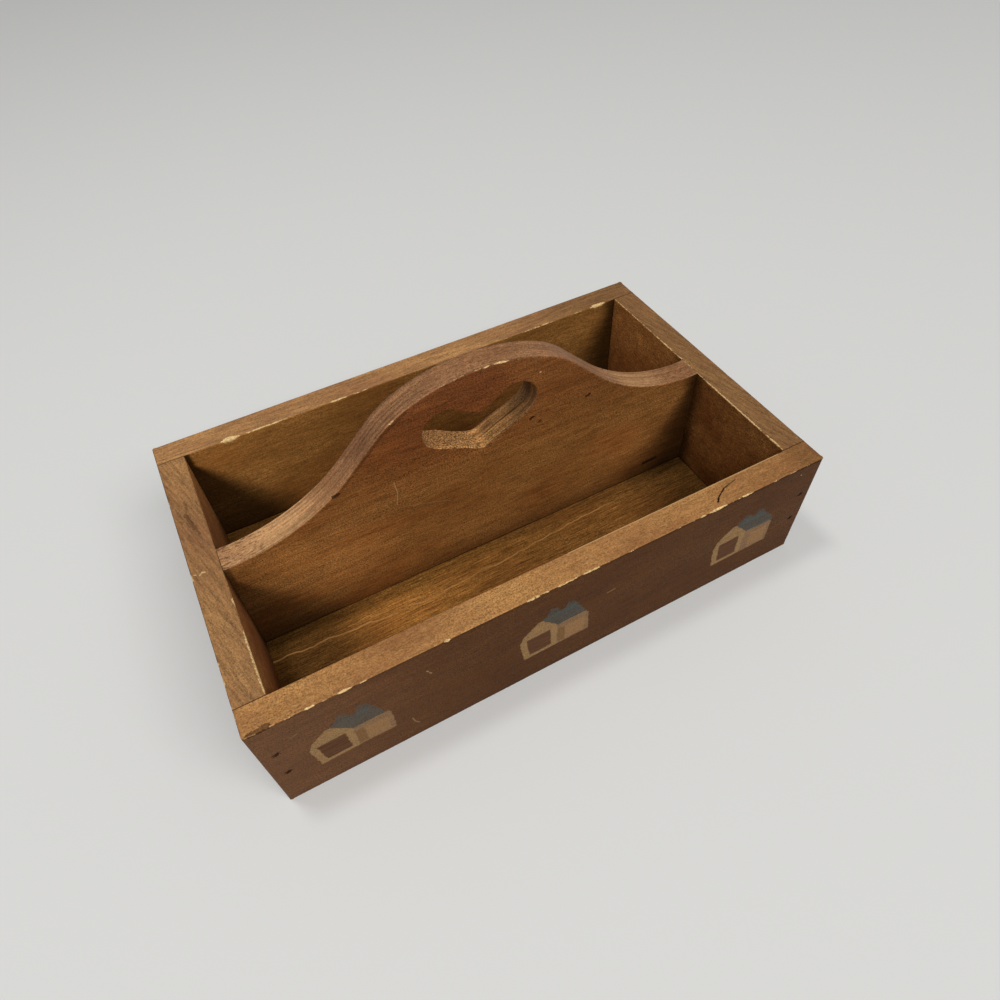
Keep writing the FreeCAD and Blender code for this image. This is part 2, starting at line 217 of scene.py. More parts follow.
# ---- Shader maths -------------------------------------------------------------------------------
class Signal:
    """A value that a node puts out. Arithmetic on it adds Math nodes."""

    def __init__(self, graph, socket):
        self.graph = graph
        self.socket = socket

    def _math(self, operation, *values, clamp=False):
        settings = {"operation": operation, "use_clamp": clamp}
        return self.graph.node("ShaderNodeMath", settings, dict(enumerate(values)))

    def __add__(self, other):
        return self._math("ADD", self, other)

    def __sub__(self, other):
        return self._math("SUBTRACT", self, other)

    def __rsub__(self, other):
        return self._math("SUBTRACT", other, self)

    def __mul__(self, other):
        return self._math("MULTIPLY", self, other)

    def __truediv__(self, other):
        return self._math("DIVIDE", self, other)

    def __pow__(self, power):
        return self._math("POWER", self, power)

    def __gt__(self, other):
        return self._math("GREATER_THAN", self, other)

    __radd__ = __add__
    __rmul__ = __mul__

    def clamped(self):
        return self._math("ADD", self, 0.0, clamp=True)

    def size(self):
        return self._math("ABSOLUTE", self)

    def fraction(self):
        return self._math("FRACT", self)

    def least(self, other):
        return self._math("MINIMUM", self, other)

    def most(self, other):
        return self._math("MAXIMUM", self, other)

    def rise(self, low, high):
        """0 up to low, 1 from high on, and smooth between them. It falls where low is above high."""
        ends = {"Value": self, "From Min": low, "From Max": high}
        return self.graph.node("ShaderNodeMapRange", {"interpolation_type": "SMOOTHSTEP"}, ends)


class Graph:
    """The node tree of one material, built by calls."""

    def __init__(self, name):
        self.material = bpy.data.materials.new(name)
        self.material.use_nodes = True
        self.tree = self.material.node_tree
        self.tree.nodes.clear()

    def node(self, kind, settings=None, sockets=None, output=0):
        """Adds a node: settings first, then socket values and links. Returns one of its outputs."""
        node = self.tree.nodes.new(kind)
        for key, value in (settings or {}).items():
            setattr(node, key, value)
        for key, value in (sockets or {}).items():
            if isinstance(value, Signal):
                self.tree.links.new(value.socket, node.inputs[key])
            elif node.inputs[key].type == "RGBA":
                node.inputs[key].default_value = (*value, 1.0)
            else:
                node.inputs[key].default_value = value
        return Signal(self, node.outputs[output]) if node.outputs else None

    def blend(self, factor, first, second):
        """Two colours mixed: the first at factor 0, the second at factor 1."""
        settings = {"data_type": "RGBA", "clamp_factor": True}
        return self.node("ShaderNodeMix", settings, {0: factor, 6: first, 7: second}, output=2)

    def dim(self, shade, factor):
        """A colour or another vector times a value."""
        return self.node("ShaderNodeVectorMath", {"operation": "SCALE"}, {0: shade, "Scale": factor})

    def vector(self, x, y, z):
        return self.node("ShaderNodeCombineXYZ", None, {"X": x, "Y": y, "Z": z})

    def parts(self, vector):
        """The three parts of a vector."""
        split = self.tree.nodes.new("ShaderNodeSeparateXYZ")
        self.tree.links.new(vector.socket, split.inputs[0])
        return [Signal(self, socket) for socket in split.outputs]

    def speckle(self, vector, detail=2.0, roughness=0.5):
        """Noise from 0 to 1 with features about one unit of the vector wide."""
        sockets = {"Vector": vector, "Scale": 1.0, "Detail": detail, "Roughness": roughness}
        return self.node("ShaderNodeTexNoise", None, sockets)

    def attribute(self, name):
        return self.node("ShaderNodeAttribute", {"attribute_name": name}, output=2)

    def finish(self, shade, roughness, height, bump_strength, **constants):
        """Principled surface with a bump, as the material's output."""
        bump = {"Strength": bump_strength, "Distance": 0.2 * MM, "Height": height}
        normal = self.node("ShaderNodeBump", None, bump)
        sockets = {"Base Color": shade, "Roughness": roughness, "Normal": normal, **constants}
        surface = self.node("ShaderNodeBsdfPrincipled", None, sockets)
        self.node("ShaderNodeOutputMaterial", None, {"Surface": surface})
        return self.material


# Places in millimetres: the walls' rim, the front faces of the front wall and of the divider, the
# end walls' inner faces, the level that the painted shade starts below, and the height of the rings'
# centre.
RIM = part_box("front_board")[1].z / MM
FRONT_FACE = CAD_BOX[0][Y] / MM
DIVIDER_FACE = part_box("divider_handle")[0].y / MM
ROOM_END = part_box("right_end_board")[0].x / MM
ROOM_TOP = 90.0
RING_CENTRE = 60.0


# Places that lie on a face, from the two numbers that a mark gives.
def on_rim(x, y):
    return x, y, RIM


def on_front(x, z):
    return x, FRONT_FACE, z


def on_divider(x, z):
    return x, DIVIDER_FACE, z


class Timber:
    """Grain of one board as signals, in millimetres: a solid pattern that every cut runs through."""

    def __init__(self, graph, along="X", layers=3.2, heart=240.0, slant=0.0, seed=0.0):
        """Layers are the spacing of the growth rings, and heart says how far off their centre is."""
        self.graph = graph
        place = graph.node("ShaderNodeTexCoord", output=3)
        self.place = graph.dim(place, 1 / MM)
        self.x, self.y, self.z = graph.parts(self.place)
        self.along, across = (self.x, self.y) if along == "X" else (self.y, self.x)
        self.across = across + self.along * slant if slant else across
        self.normal = graph.parts(graph.node("ShaderNodeTexCoord", output=1))
        self.seed = seed

        self.drift = self.pattern(0.008, 0.03, detail=2) - 0.5
        self.cloud = self.pattern(0.014, 0.03, detail=4, seed=7.0)
        self.streak = self.pattern(0.02, 0.25, detail=3, seed=13.0)
        self.line = self.pattern(0.06, 0.7, detail=3, roughness=0.7, seed=19.0)
        self.fleck = (self.pattern(0.9, 1.25, detail=2, roughness=0.8, seed=29.0) - 0.5) * 3.4 + 0.5
        self.dash = self.pattern(0.07, 0.85, detail=2, roughness=0.7, seed=37.0) - 0.5
        self.pore = self.pattern(0.22, 0.75, detail=2, roughness=0.6, seed=31.0)
        sheets = graph.vector(self.x * 0.012, self.y * 0.5, self.z * 0.012 + seed)
        self.sheet = graph.speckle(sheets, 3, 0.65) - 0.5

        off_across = self.across - heart
        off_up = self.z - RING_CENTRE
        radius = (off_across * off_across + off_up * off_up) ** 0.5
        turn = ((radius + self.drift * 9.0 + (self.line - 0.5) * 1.5) / layers).fraction()
        self.late = turn.rise(0.2, 0.85) * turn.rise(1.0, 0.9)

    def pattern(self, along, across, detail=2.0, roughness=0.55, seed=0.0):
        """Noise drawn out along the grain: features 1/along mm long and 1/across mm wide."""
        g = self.graph
        start = self.seed + seed
        vector = g.vector(self.along * along + start, self.across * across, self.z * across)
        return g.speckle(vector, detail, roughness)

    def mottle(self, weight):
        """Uneven tone at every size from a pore to a fingertip, around 1."""
        uneven = self.pattern(0.2, 0.3, detail=4, roughness=0.85, seed=71.0) - 0.5
        return uneven * (weight * 4) + 1

    def stroke(self, start, end, width, strength, soft=0.5):
        """A mark within a width of the line from start to end, ragged at its edge."""
        g = self.graph
        line = Vector(end) - Vector(start)

        def vector_math(operation, sockets, output=0):
            return g.node("ShaderNodeVectorMath", {"operation": operation}, sockets, output)

        off = vector_math("SUBTRACT", {0: self.place, 1: start})
        reach = vector_math("DOT_PRODUCT", {0: off, 1: line}, output=1) * (1 / line.length_squared)
        nearest = g.dim(tuple(line), reach.clamped())
        distance = vector_math("DISTANCE", {0: off, 1: nearest}, output=1)
        ragged = distance + (self.fleck - 0.5) * width * 0.5
        return ragged.rise(width / 2 + soft, width / 2) * strength

    def strokes(self, place, rows, soft=0.5, over=None):
        """The most of several strokes on a face, and of what they lie over. A row is one mark: the
        two numbers of its start, those of its end, its width and its strength."""
        for a0, b0, a1, b1, width, strength in rows:
            mark = self.stroke(place(a0, b0), place(a1, b1), width, strength, soft)
            over = mark if over is None else over.most(mark)
        return over

    def patch(self, x, z, wide, high):
        """A soft oval patch on an upright board, with a cloudy edge."""
        off_x, off_z = (self.x - x) / wide, (self.z - z) / high
        distance = (off_x * off_x + off_z * off_z) ** 0.5 + (self.cloud - 0.5) * 1.2
        return distance.rise(1.0, 0.1)

    def worn(self):
        """Where the stain has gone from an arris: the mesh says how wide, the grain how ragged."""
        gap = self.graph.attribute("gap")
        width = self.graph.attribute("bare")
        ragged = width * (self.pattern(0.4, 1.1, detail=4, roughness=0.7, seed=41.0) * 2.8 - 0.5)
        return (ragged - gap + 0.1).rise(0.0, 0.22)

    def joint_dirt(self):
        """Dark line where two boards meet."""
        return (self.graph.attribute("seam") - self.graph.attribute("gap")).rise(-0.2, 0.3)

    def painted_end_shade(self, left_depth, right_depth, top=ROOM_TOP):
        """Painted shade at a compartment's ends, wider the deeper down: sharp at the left, soft at the
        right.
        """
        deep = (top - self.z).most(5.0)
        left = ((self.x + ROOM_END) / (deep * 0.8)).rise(1.35, 0.55) * left_depth
        right = ((ROOM_END - self.x) / (deep * 0.55 + 8.0)).rise(1.6, 0.2) * right_depth
        return (1 - left) * (1 - right)


# ---- Edges of the boards ------------------------------------------------------------------------
class Course:
    """How worn an edge is along its run: a base, random chips and named patches, in millimetres."""

    places = np.arange(-260.0, 260.0, 1.0)
    patch_fade = 3.0
    sound_below = 0.15

    def __init__(self, base=0.0, gain=0.0, pitch=14.0, seed=1.0, patches=()):
        self.base = base
        self.gain = gain
        self.pitch = pitch
        self.seed = seed
        self.patches = patches

    def width(self, run):
        """Width of bare wood at each place along the run, which is in millimetres."""
        course = [noise.noise(Vector((p / self.pitch, self.seed, 0.3))) for p in self.places]
        worn = self.base + self.gain * np.maximum(0, np.array(course) - self.sound_below)
        for start, end, width in self.patches:
            middle, half = (start + end) / 2, (end - start) / 2
            inside = half + self.patch_fade / 2 - abs(self.places - middle)
            worn = worn + width * np.clip(inside / self.patch_fade, 0, 1)
        return np.interp(run, self.places, worn)


SOUND = Course()
# How far dirt reaches from an arris in a joint and from the long walls' outer rims, in millimetres,
# and how much more an arris is rounded for each millimetre of bare wood.
JOINT_SEAM = 0.35
EDGE_SEAM = 0.15
CHIP_DEPTH = 0.45


class Arris:
    """A straight edge of a board. Its sides say which faces of the board's box meet in it, by axis.
    Where it has a free stretch, the rest of it lies against another board."""

    def __init__(self, sides, ease, course=SOUND, seam=0.0, free=None):
        self.sides = sides
        self.run = ({X, Y, Z} - set(sides)).pop()
        self.ease = ease
        self.course = course
        self.seam = seam
        self.free = free

    def is_free(self, run):
        """For each place along the run, whether it is clear of other boards."""
        if self.free is None:
            return np.ones(len(run), bool)
        return (run > self.free[0]) & (run < self.free[1])

    def radius(self, points, seam_ease):
        """Rounding at each point: the ease, more where it is chipped, and less along a seam."""
        run = points[:, self.run]
        chipped = self.ease + self.course.width(run / MM) * CHIP_DEPTH * MM
        return np.where(self.is_free(run), chipped, seam_ease)


def depths(points, low, high, axis, side):
    """How far each point lies inside one face of a box."""
    return points[:, axis] - low[axis] if side < 0 else high[axis] - points[:, axis]


def eased(points, low, high, arrises, seam_ease):
    """Points of a box's surface, moved so that every arris is rounded."""
    moved = points.copy()
    for arris in arrises:
        (a, side_a), (b, side_b) = arris.sides.items()
        radius = arris.radius(points, seam_ease)
        short_a = radius - depths(points, low, high, a, side_a)
        short_b = radius - depths(points, low, high, b, side_b)
        near = (short_a > 0) & (short_b > 0)
        short_a, short_b, radius = short_a[near], short_b[near], radius[near]
        reach = np.hypot(short_a, short_b)
        moved[near, a] -= side_a * short_a * (1 - radius / reach)
        moved[near, b] -= side_b * short_b * (1 - radius / reach)
    return moved


def edge_marks(points, low, high, arrises):
    """Per point, in millimetres: gap to the nearest arris, bare width there, and seam width there."""
    gap = np.full(len(points), 99.0)
    bare = np.zeros(len(points))
    seam = np.zeros(len(points))
    for arris in arrises:
        off = [depths(points, low, high, axis, side) for axis, side in arris.sides.items()]
        away = np.hypot(*off) / MM
        nearer = away < gap
        run = points[:, arris.run]
        free = arris.is_free(run)
        gap = np.where(nearer, away, gap)
        bare = np.where(nearer, arris.course.width(run / MM) * free, bare)
        seam = np.where(nearer, np.where(free, arris.seam, JOINT_SEAM), seam)
    return {"gap": gap, "bare": bare, "seam": seam}


# ---- Mesh making --------------------------------------------------------------------------------
EDGE_LINES = tuple(v * MM for v in (0, 0.3, 0.7, 1.2, 2.0, 3.5))
SHARP_ANGLE = math.radians(50)


def grid_lines(low, high, step):
    """Places from low to high: close together at both ends, evenly spaced between them."""
    near = EDGE_LINES[-1]
    count = max(1, round((high - low - 2 * near) / step))
    middle = np.linspace(low + near, high - near, count + 1)[1:-1]
    start = [low + line for line in EDGE_LINES]
    end = [high - line for line in reversed(EDGE_LINES)]
    return np.array(start + list(middle) + end)


def box_surface(lines):
    """Points and quads of a box's surface, divided at the given lines along X, Y and Z."""
    index, faces = {}, []

    def vertex(key):
        return index.setdefault(key, len(index))

    for axis in range(3):
        u, v = (axis + 1) % 3, (axis + 2) % 3
        for side in (0, len(lines[axis]) - 1):
            for i in range(len(lines[u]) - 1):
                for j in range(len(lines[v]) - 1):
                    quad = []
                    for di, dj in ((0, 0), (1, 0), (1, 1), (0, 1)):
                        key = [0, 0, 0]
                        key[axis], key[u], key[v] = side, i + di, j + dj
                        quad.append(vertex(tuple(key)))
                    faces.append(quad if side else quad[::-1])
    points = np.array([[lines[axis][key[axis]] for axis in range(3)] for key in index])
    return points, faces


def new_piece(name, points, faces):
    """A smooth mesh object in the scene."""
    mesh = bpy.data.meshes.new(name)
    mesh.from_pydata([tuple(p) for p in points], [], faces)
    build = bmesh.new()
    build.from_mesh(mesh)
    bmesh.ops.recalc_face_normals(build, faces=build.faces)
    build.to_mesh(mesh)
    build.free()
    piece = bpy.data.objects.new(name, mesh)
    bpy.context.scene.collection.objects.link(piece)
    return piece


def cutter_box(centre, size, turn=Matrix.Identity(3)):
    """Corners and faces of a box for cutting."""
    signs = [(x, y, z) for x in (-1, 1) for y in (-1, 1) for z in (-1, 1)]
    half = Vector(size) / 2
    corners = [centre + turn @ Vector([s * h for s, h in zip(sign, half)]) for sign in signs]
    faces = [(0, 1, 3, 2), (4, 6, 7, 5), (0, 4, 5, 1), (2, 3, 7, 6), (0, 2, 6, 4), (1, 5, 7, 3)]
    return corners, faces


def cut_away(piece, boxes):
    """Cuts boxes out of a piece."""
    points, faces = [], []
    for corners, sides in boxes:
        faces += [[len(points) + i for i in side] for side in sides]
        points += corners
    cutter = new_piece(piece.name + "_cutter", points, faces)
    modifier = piece.modifiers.new("cut", "BOOLEAN")
    modifier.operation = "DIFFERENCE"
    modifier.solver = "EXACT"
    modifier.object = cutter
    evaluated = piece.evaluated_get(bpy.context.evaluated_depsgraph_get())
    mesh = bpy.data.meshes.new_from_object(evaluated)
    piece.modifiers.clear()
    piece.data = mesh
    bpy.data.objects.remove(cutter)


def write_marks(piece, marks):
    """Keeps numbers per vertex for the materials, and shades the piece smooth up to sharp edges."""
    for name, values in marks.items():
        layer = piece.data.attributes.new(name, "FLOAT", "POINT")
        layer.data.foreach_set("value", np.asarray(values, np.float32))
    piece.data.shade_smooth()
    piece.data.set_sharp_from_angle(angle=SHARP_ANGLE)


def positions(piece):
    """A piece's vertices as an array."""
    flat = np.zeros(len(piece.data.vertices) * 3)
    piece.data.vertices.foreach_get("co", flat)
    return flat.reshape(-1, 3)


def board_piece(name, node, arrises, step, boxes):
    """A board that stands for a CAD node: its box, eased and worn, with its cuts."""
    sizes = bpy.context.scene.caddy_sizes
    low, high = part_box(node)
    lines = [grid_lines(low[axis], high[axis], step[axis]) for axis in (X, Y, Z)]
    points, faces = box_surface(lines)
    piece = new_piece(name, eased(points, low, high, arrises, sizes.seam_ease), faces)
    cut_away(piece, boxes)
    write_marks(piece, edge_marks(positions(piece), low, high, arrises))
    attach(piece, "root")
    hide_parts(node)
    return piece


# ---- Nail slots and the rabbet ------------------------------------------------------------------
PANEL_CLEARANCE = 0.15 * MM
OVERSHOOT = 1 * MM


def slot_boxes(node, turn, sizes):
    """The two slots over the heads of a joint's nails, worked out from where the nails lie."""
    low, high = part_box(node)
    middle = (low + high) / 2
    axis = X if high.x - low.x > high.y - low.y else Y
    outward = Vector((0, 0, 0))
    outward[axis] = math.copysign(1, middle[axis])
    upright = Matrix.Rotation(turn, 3, -outward) @ Vector((0, 0, 1))
    basis = Matrix((upright, outward.cross(upright), outward)).transposed()
    middle[axis] = outward[axis] * max(abs(low[axis]), abs(high[axis]))
    size = (sizes.nail_slot, sizes.nail_slot_width, sizes.nail_slot_depth * 2)
    offset = Vector((0, 0, sizes.nail_pitch / 2))
    return [cutter_box(middle + offset * side, size, basis) for side in (-1, 1)]


def brad_boxes(node, count, along, sizes):
    """The slots over a row of brads under the floor panel."""
    low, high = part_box(node)
    size = Vector((sizes.brad_slot_width, sizes.brad_slot_width, sizes.brad_slot_depth * 2))
    size[along] = sizes.brad_slot
    centre = (low + high) / 2
    centre.z = 0.0
    boxes = []
    for place in np.linspace(low[along] + size[along] / 2, high[along] - size[along] / 2, count):
        centre[along] = place
        boxes.append(cutter_box(centre, size))
    return boxes


def rabbet_box():
    """The room of the floor panel: its own box with a clearance round it, and an overshoot below."""
    low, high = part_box("floor_panel")
    round_it = Vector((PANEL_CLEARANCE, PANEL_CLEARANCE, OVERSHOOT / 2))
    middle = (low + high) / 2 - Vector((0, 0, OVERSHOOT / 2))
    return cutter_box(middle, high - low + 2 * round_it)


# ---- Materials of the boards --------------------------------------------------------------------
# Between these upward parts of the normal, a wall's side turns into its rim.
UPWARD = (0.75, 0.9)


def stained(timber, pale, deep, cloud=1.0, streak=0.5, line=0.5, speck=0.3, late=0.15):
    """Stain over grain: two tones in clouds, with streaks, thin lines, specks and late wood."""
    g = timber.graph
    mix = (timber.cloud - 0.5) * (2.6 * cloud) + (timber.streak - 0.5) * streak + 0.5
    grain = (
        1 + (timber.streak - 0.5) * streak * 1.6 + (timber.line - 0.5) * line * 2.0
        + (timber.fleck - 0.5) * (timber.cloud * 1.6 + 0.2) * (speck * 2.0)
    )
    return g.dim(g.blend(mix, deep, pale), grain * (1 - timber.late * late))


def speckled(timber, shade, dark, light):
    """Short dark pores and pale grains of a sawn or sanded edge."""
    g = timber.graph
    finish = bpy.context.scene.caddy_finish
    shade = g.blend(timber.pore.rise(0.46, 0.34) * dark, shade, finish.pore_brown)
    return g.blend(timber.pore.rise(0.54, 0.66) * light, shade, finish.bare_wood)


def rim_stain(timber, strength=1.0, speck=0.34, line=0.3):
    """Look of a rim: speckled stain with hardly any layers."""
    finish = bpy.context.scene.caddy_finish
    stain = stained(timber, finish.rim_tan, finish.rim_shade, 1.1, 0.2, line, speck, 0.0)
    return timber.graph.dim(speckled(timber, stain, 0.07, 0.1), timber.mottle(0.11) * strength)


def weathered(timber, shade, marks=None, scratches=None, sheen=0.1):
    """Adds worn arrises, joint dirt and marks (some painted shade) to a colour, and makes the surface.
    """
    g = timber.graph
    finish = bpy.context.scene.caddy_finish
    worn = timber.worn()
    bare = g.dim(finish.bare_wood, 0.6 + timber.fleck * 0.7)
    shade = g.blend(worn * 0.9, shade, bare)
    if scratches is not None:
        shade = g.blend(scratches, shade, finish.bare_wood)
    shade = g.blend(timber.joint_dirt() * (0.8 - worn * 0.7), shade, finish.pore_brown)
    if marks is not None:
        shade = g.blend(marks, shade, g.dim(finish.pore_brown, 0.6))
    roughness = finish.stain_roughness + worn * 0.25 + (timber.streak - 0.5) * 0.2
    height = timber.line * 0.7 + timber.fleck * 0.7
    return g.finish(shade, roughness, height, 0.4, **{"Specular IOR Level": sheen})


def cottage_masks(timber, cottages):
    """Signals for the parts of the nearest cottage, from its own left corner."""
    left = CAD_BOX[0][0] / MM + cottages.first / MM
    pitch, last_pitch = cottages.pitch / MM, cottages.last_pitch / MM
    second = timber.x > left + pitch * 0.7
    third = timber.x > left + pitch * 1.8
    wobble = timber.pattern(0.22, 0.3, detail=3, roughness=0.65, seed=53.0) - 0.5
    frayed = timber.fleck - 0.5
    u = timber.x - second * pitch - third * last_pitch - left + wobble * 2.6 + frayed * 0.4
    v = timber.z - second * 1.0 + third * 1.6 + wobble * 2.2 - frayed * 0.4

    def patch(*corners, at=(u, v), soft=0.8):
        """1 inside a convex outline, whose corners go anticlockwise."""
        inside = None
        for (x0, z0), (x1, z1) in zip(corners, corners[1:] + corners[:1]):
            span = math.hypot(x1 - x0, z1 - z0)
            slope_u, slope_v = -(z1 - z0) / span, (x1 - x0) / span
            side = at[0] * slope_u + at[1] * slope_v - (x0 * slope_u + z0 * slope_v)
            inside = side if inside is None else inside.least(side)
        return inside.rise(-soft / 2, soft / 2)

    overhang = third * v.rise(67.0, 52.0) * u.rise(28.0, 46.0) * 4.0
    at_roof = (u - overhang, v + overhang * 0.5)
    at_left = (u, v - second * 0.4 + third * 2.8)
    at_right = (u + third * 1.5, v + second * 1.6 + third * 0.8)
    roof = ((28.5, 52.5), (49, 53.5), (46.5, 60.5), (40, 70), (18, 69), (15.5, 67))
    gable = ((2.5, 27), (27.5, 28), (27.5, 53.5), (16.5, 66.5), (13, 66.5), (2.5, 57), (0, 50))
    left_chimney = patch((18.5, 66), (30, 66), (27, 75), (22, 76.5), at=at_left, soft=1.6)
    right_chimney = patch((31, 66), (44.5, 66), (39.8, 75), (35, 76.2), at=at_right, soft=1.6)
    return {
        "roof": patch(*roof, at=at_roof),
        "chimneys": left_chimney.most(right_chimney),
        "wing": patch((24, 28), (52.5, 28), (52, 50), (50, 53), (24, 53.5)),
        "block": patch((34, 29.5), (49, 29), (49, 46.5), (34, 47)),
        "band": patch((28, 30), (33.5, 30), (33.5, 46.5), (28, 48)),
        "gable": patch(*gable),
        "door": patch((6.8, 30.8), (23.3, 31), (22.4, 51.5), (4.6, 51)),
    }


# Marks on a face: each is both of its ends, its width and its strength. The pale line on the inner
# arris lies between two faces, so its ends have all three numbers.
RIM_CRACK = (
    (138.3, -107.7, 130.3, -109.5, 0.5, 0.6),
    (130.3, -109.5, 127, -110.2, 0.6, 0.8),
    (127, -110.2, 122.2, -112.7, 0.7, 0.9),
    (122.2, -112.7, 118.3, -115.1, 0.7, 0.9),
    (118.3, -115.1, 115.9, -117.8, 0.8, 1.0),
)
DIRTY_CORNER = ((-199, -121.9, -188.5, -120.6, 2.6, 0.62), (-195, -122.1, -189, -121.6, 2.4, 0.62))
FRONT_DIRT = ((-44, 17, -40.5, 13, 0.7, 0.3), (166, 99, 200, 98.4, 0.8, 0.35))
FRONT_NICKS = (
    (-98.4, 77, -97.6, 75.5, 0.4, 0.3),
    (-97, 73.6, -95.8, 71.8, 0.5, 0.25),
    (-182, 77, -178, 78.5, 0.5, 0.1),
    (30, 63, 36, 63.5, 0.4, 0.2),
    (-114.5, 27, -113.5, 21, 0.5, 0.16),
    (-113.5, 21, -111, 16.5, 0.5, 0.16),
    (185, 92, 186, 91, 0.3, 0.3),
)
# A pale line along the front rim's inner arris.
PALE_INNER_ARRIS = ((10, -103.9, 99.4), (178, -103.9, 99.4), 0.8, 0.5)
THIN_PAINT = {"roof": 0.68, "chimneys": 0.55}


def painted(timber, wash):
    """The wash on the front, with the cottages over it."""
    g = timber.graph
    cottages = bpy.context.scene.caddy_cottages
    parts = cottage_masks(timber, cottages)
    parts["roof"] = parts["roof"] * (1 - parts["gable"])
    parts["band"] = parts["band"] * (1 - parts["gable"]) * timber.x.rise(100.0, 90.0)
    cover = 0.92 + (timber.line - 0.5) * 1.4 + (timber.fleck - 0.5) * 0.5
    for name, paint in (
        ("wing", cottages.wing_tan), ("block", cottages.block_orange), ("band", cottages.band_tan),
        ("gable", cottages.wall_tan), ("door", cottages.door_brown), ("roof", cottages.roof_blue),
        ("chimneys", cottages.roof_blue),
    ):
        mask = (parts[name] * cover * THIN_PAINT.get(name, 1.0)).clamped()
        wash = g.blend(mask, wash, g.dim(paint, 0.75 + timber.fleck * 0.5))
    return wash


def front_wall_material():
    finish = bpy.context.scene.caddy_finish
    g = Graph("front_wood")
    timber = Timber(g, "X", layers=4.0, heart=-420.0, seed=1.0)
    wash = stained(timber, finish.face_brown, finish.face_shade, 0.7, 0.3, 0.3, 0.4, 0.0)
    # Painted light: lighter towards the left end. The tone is also darker at the foot and just under
    # the rim.
    light_towards_left = timber.x.rise(-40.0, -200.0) * 0.42
    tone = 0.97 + light_towards_left - timber.z.rise(9.0, 2.0) * 0.1 - timber.z.rise(96.0, 98.5) * 0.2
    wash = g.dim(wash, tone * (timber.dash * 0.6 + 1) * timber.mottle(0.13))
    wash = painted(timber, g.blend(timber.x.rise(-60.0, -200.0) * 0.07, wash, finish.dust))
    rim_fade = 1 - timber.x.rise(90.0, 150.0) * 0.07 - timber.x.rise(172.0, 192.0) * 0.25
    shade = g.blend(timber.normal[2].rise(*UPWARD), wash, rim_stain(timber, rim_fade))
    inside = stained(timber, finish.inner_gold, finish.inner_brown)
    shade = g.blend(timber.normal[1].rise(0.55, 0.8), shade, inside)
    dark_marks = timber.strokes(on_rim, RIM_CRACK + DIRTY_CORNER)
    slots = slot_marks("front_left_corner_nails") + slot_marks("front_right_corner_nails")
    dark_marks = timber.strokes(on_front, [*FRONT_DIRT, *slots], over=dark_marks)
    pale_marks = timber.strokes(on_front, FRONT_NICKS).most(timber.stroke(*PALE_INNER_ARRIS))
    return weathered(timber, shade, dark_marks, pale_marks, sheen=0.03)


def slot_marks(node):
    """Dark marks in the slots over a corner's nails, on the front."""
    low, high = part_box(node)
    middle = (low + high) / 2 / MM
    half_pitch = bpy.context.scene.caddy_sizes.nail_pitch / MM / 2
    x = middle.x
    heights = [middle.z + side * half_pitch for side in (-1, 1)]
    return [(x - 0.6, z, x + 0.9, z + 0.5, 3.0, 0.9) for z in heights]


def wall_material(name, along, layout, outward, look):
    """A plain wall: brown outside, tan on the rim, and inside golden under a dusty film and painted
    shade.
    """
    finish = bpy.context.scene.caddy_finish
    g = Graph(name)
    timber = Timber(g, along, **layout)
    outside = stained(timber, finish.face_brown, finish.face_shade, 0.8, 0.3, 0.4, 0.35, 0.05)
    inside = stained(timber, finish.inner_gold, finish.inner_brown, 0.9, 0.2, 0.6, 0.5, 0.1)
    inside = g.blend(look["film"], inside, finish.dust)
    lines = timber.dash * (2.0 if along == "X" else 1.1) + 1
    inside = g.dim(inside, (1 - timber.z.rise(8.5, 6.8) * 0.5) * lines * timber.mottle(0.1))
    fade = 1.0
    if along == "X":
        inside = g.blend(0.3, inside, g.dim(finish.inner_olive, 0.7))
        gold = timber.x.rise(0.0, -150.0) * 0.25 + timber.patch(-158, 88, 24, 16) * 0.35
        # Painted shade towards the ends of each compartment.
        inside = g.dim(inside, timber.painted_end_shade(0.86, 0.8, 92.0) * (gold + 0.84))
        fade = 1 - timber.x.rise(60.0, 175.0) * 0.38
    else:
        # Painted light and shade: a tone in front of and behind the divider, darker by it and at the
        # foot.
        behind = timber.y.rise(-10.0, 10.0)
        corner = timber.y.size().rise(24.0, 9.0)
        low = timber.z.rise(52.0, 14.0)
        front, rear, foot = look["inside"]
        tone = (behind * (rear - front) + front) * (1 - corner * 0.68) * (1 - low * foot)
        inside = g.dim(inside, tone)
    axis, side = outward
    shade = g.blend((timber.normal[axis] * side).rise(-0.8, -0.55), inside, outside)
    rim = g.blend(0.1, rim_stain(timber, speck=0.3, line=0.9), finish.dust)
    shade = g.blend(timber.normal[2].rise(*UPWARD), shade, g.dim(rim, look["rim"] * fade))
    stains = timber.strokes(on_rim, look.get("stains", ()))
    scuffs = timber.strokes(on_rim, look.get("scuffs", ()), soft=0.4)
    return weathered(timber, shade, stains, scuffs, sheen=0.06)


DIVIDER_SPOTS = (
    (36.8, 123, 38.8, 123.6, 1.7, 0.9),
    (43, 117, 45, 117.5, 1.2, 0.7),
    (82, 123.3, 84.5, 123.8, 1.5, 0.9),
    (145, 19.4, 157, 19.8, 3.0, 1.0),
    (-106, 124, -102, 125, 1.8, 0.8),
)
# Painted shade: a dark line just under the front arris of the handle's left slope.
SHADE_UNDER_ARRIS = (
    (-100, 127, -82, 144.5, 0.6, 0.35),
    (-82, 144.5, -68, 158, 0.8, 0.45),
    (-68, 158, -50, 170, 0.8, 0.4),
)
DIVIDER_SCRATCHES = (
    (-66, 115, -65, 104, 0.3, 0.3),
    (-65, 104, -67, 93, 0.3, 0.25),
    (-59, 87, -42, 81, 0.2, 0.15),
    (-42, 81, -29, 75, 0.2, 0.15),
    (44, 161, 44.5, 161, 0.6, 0.8),
)


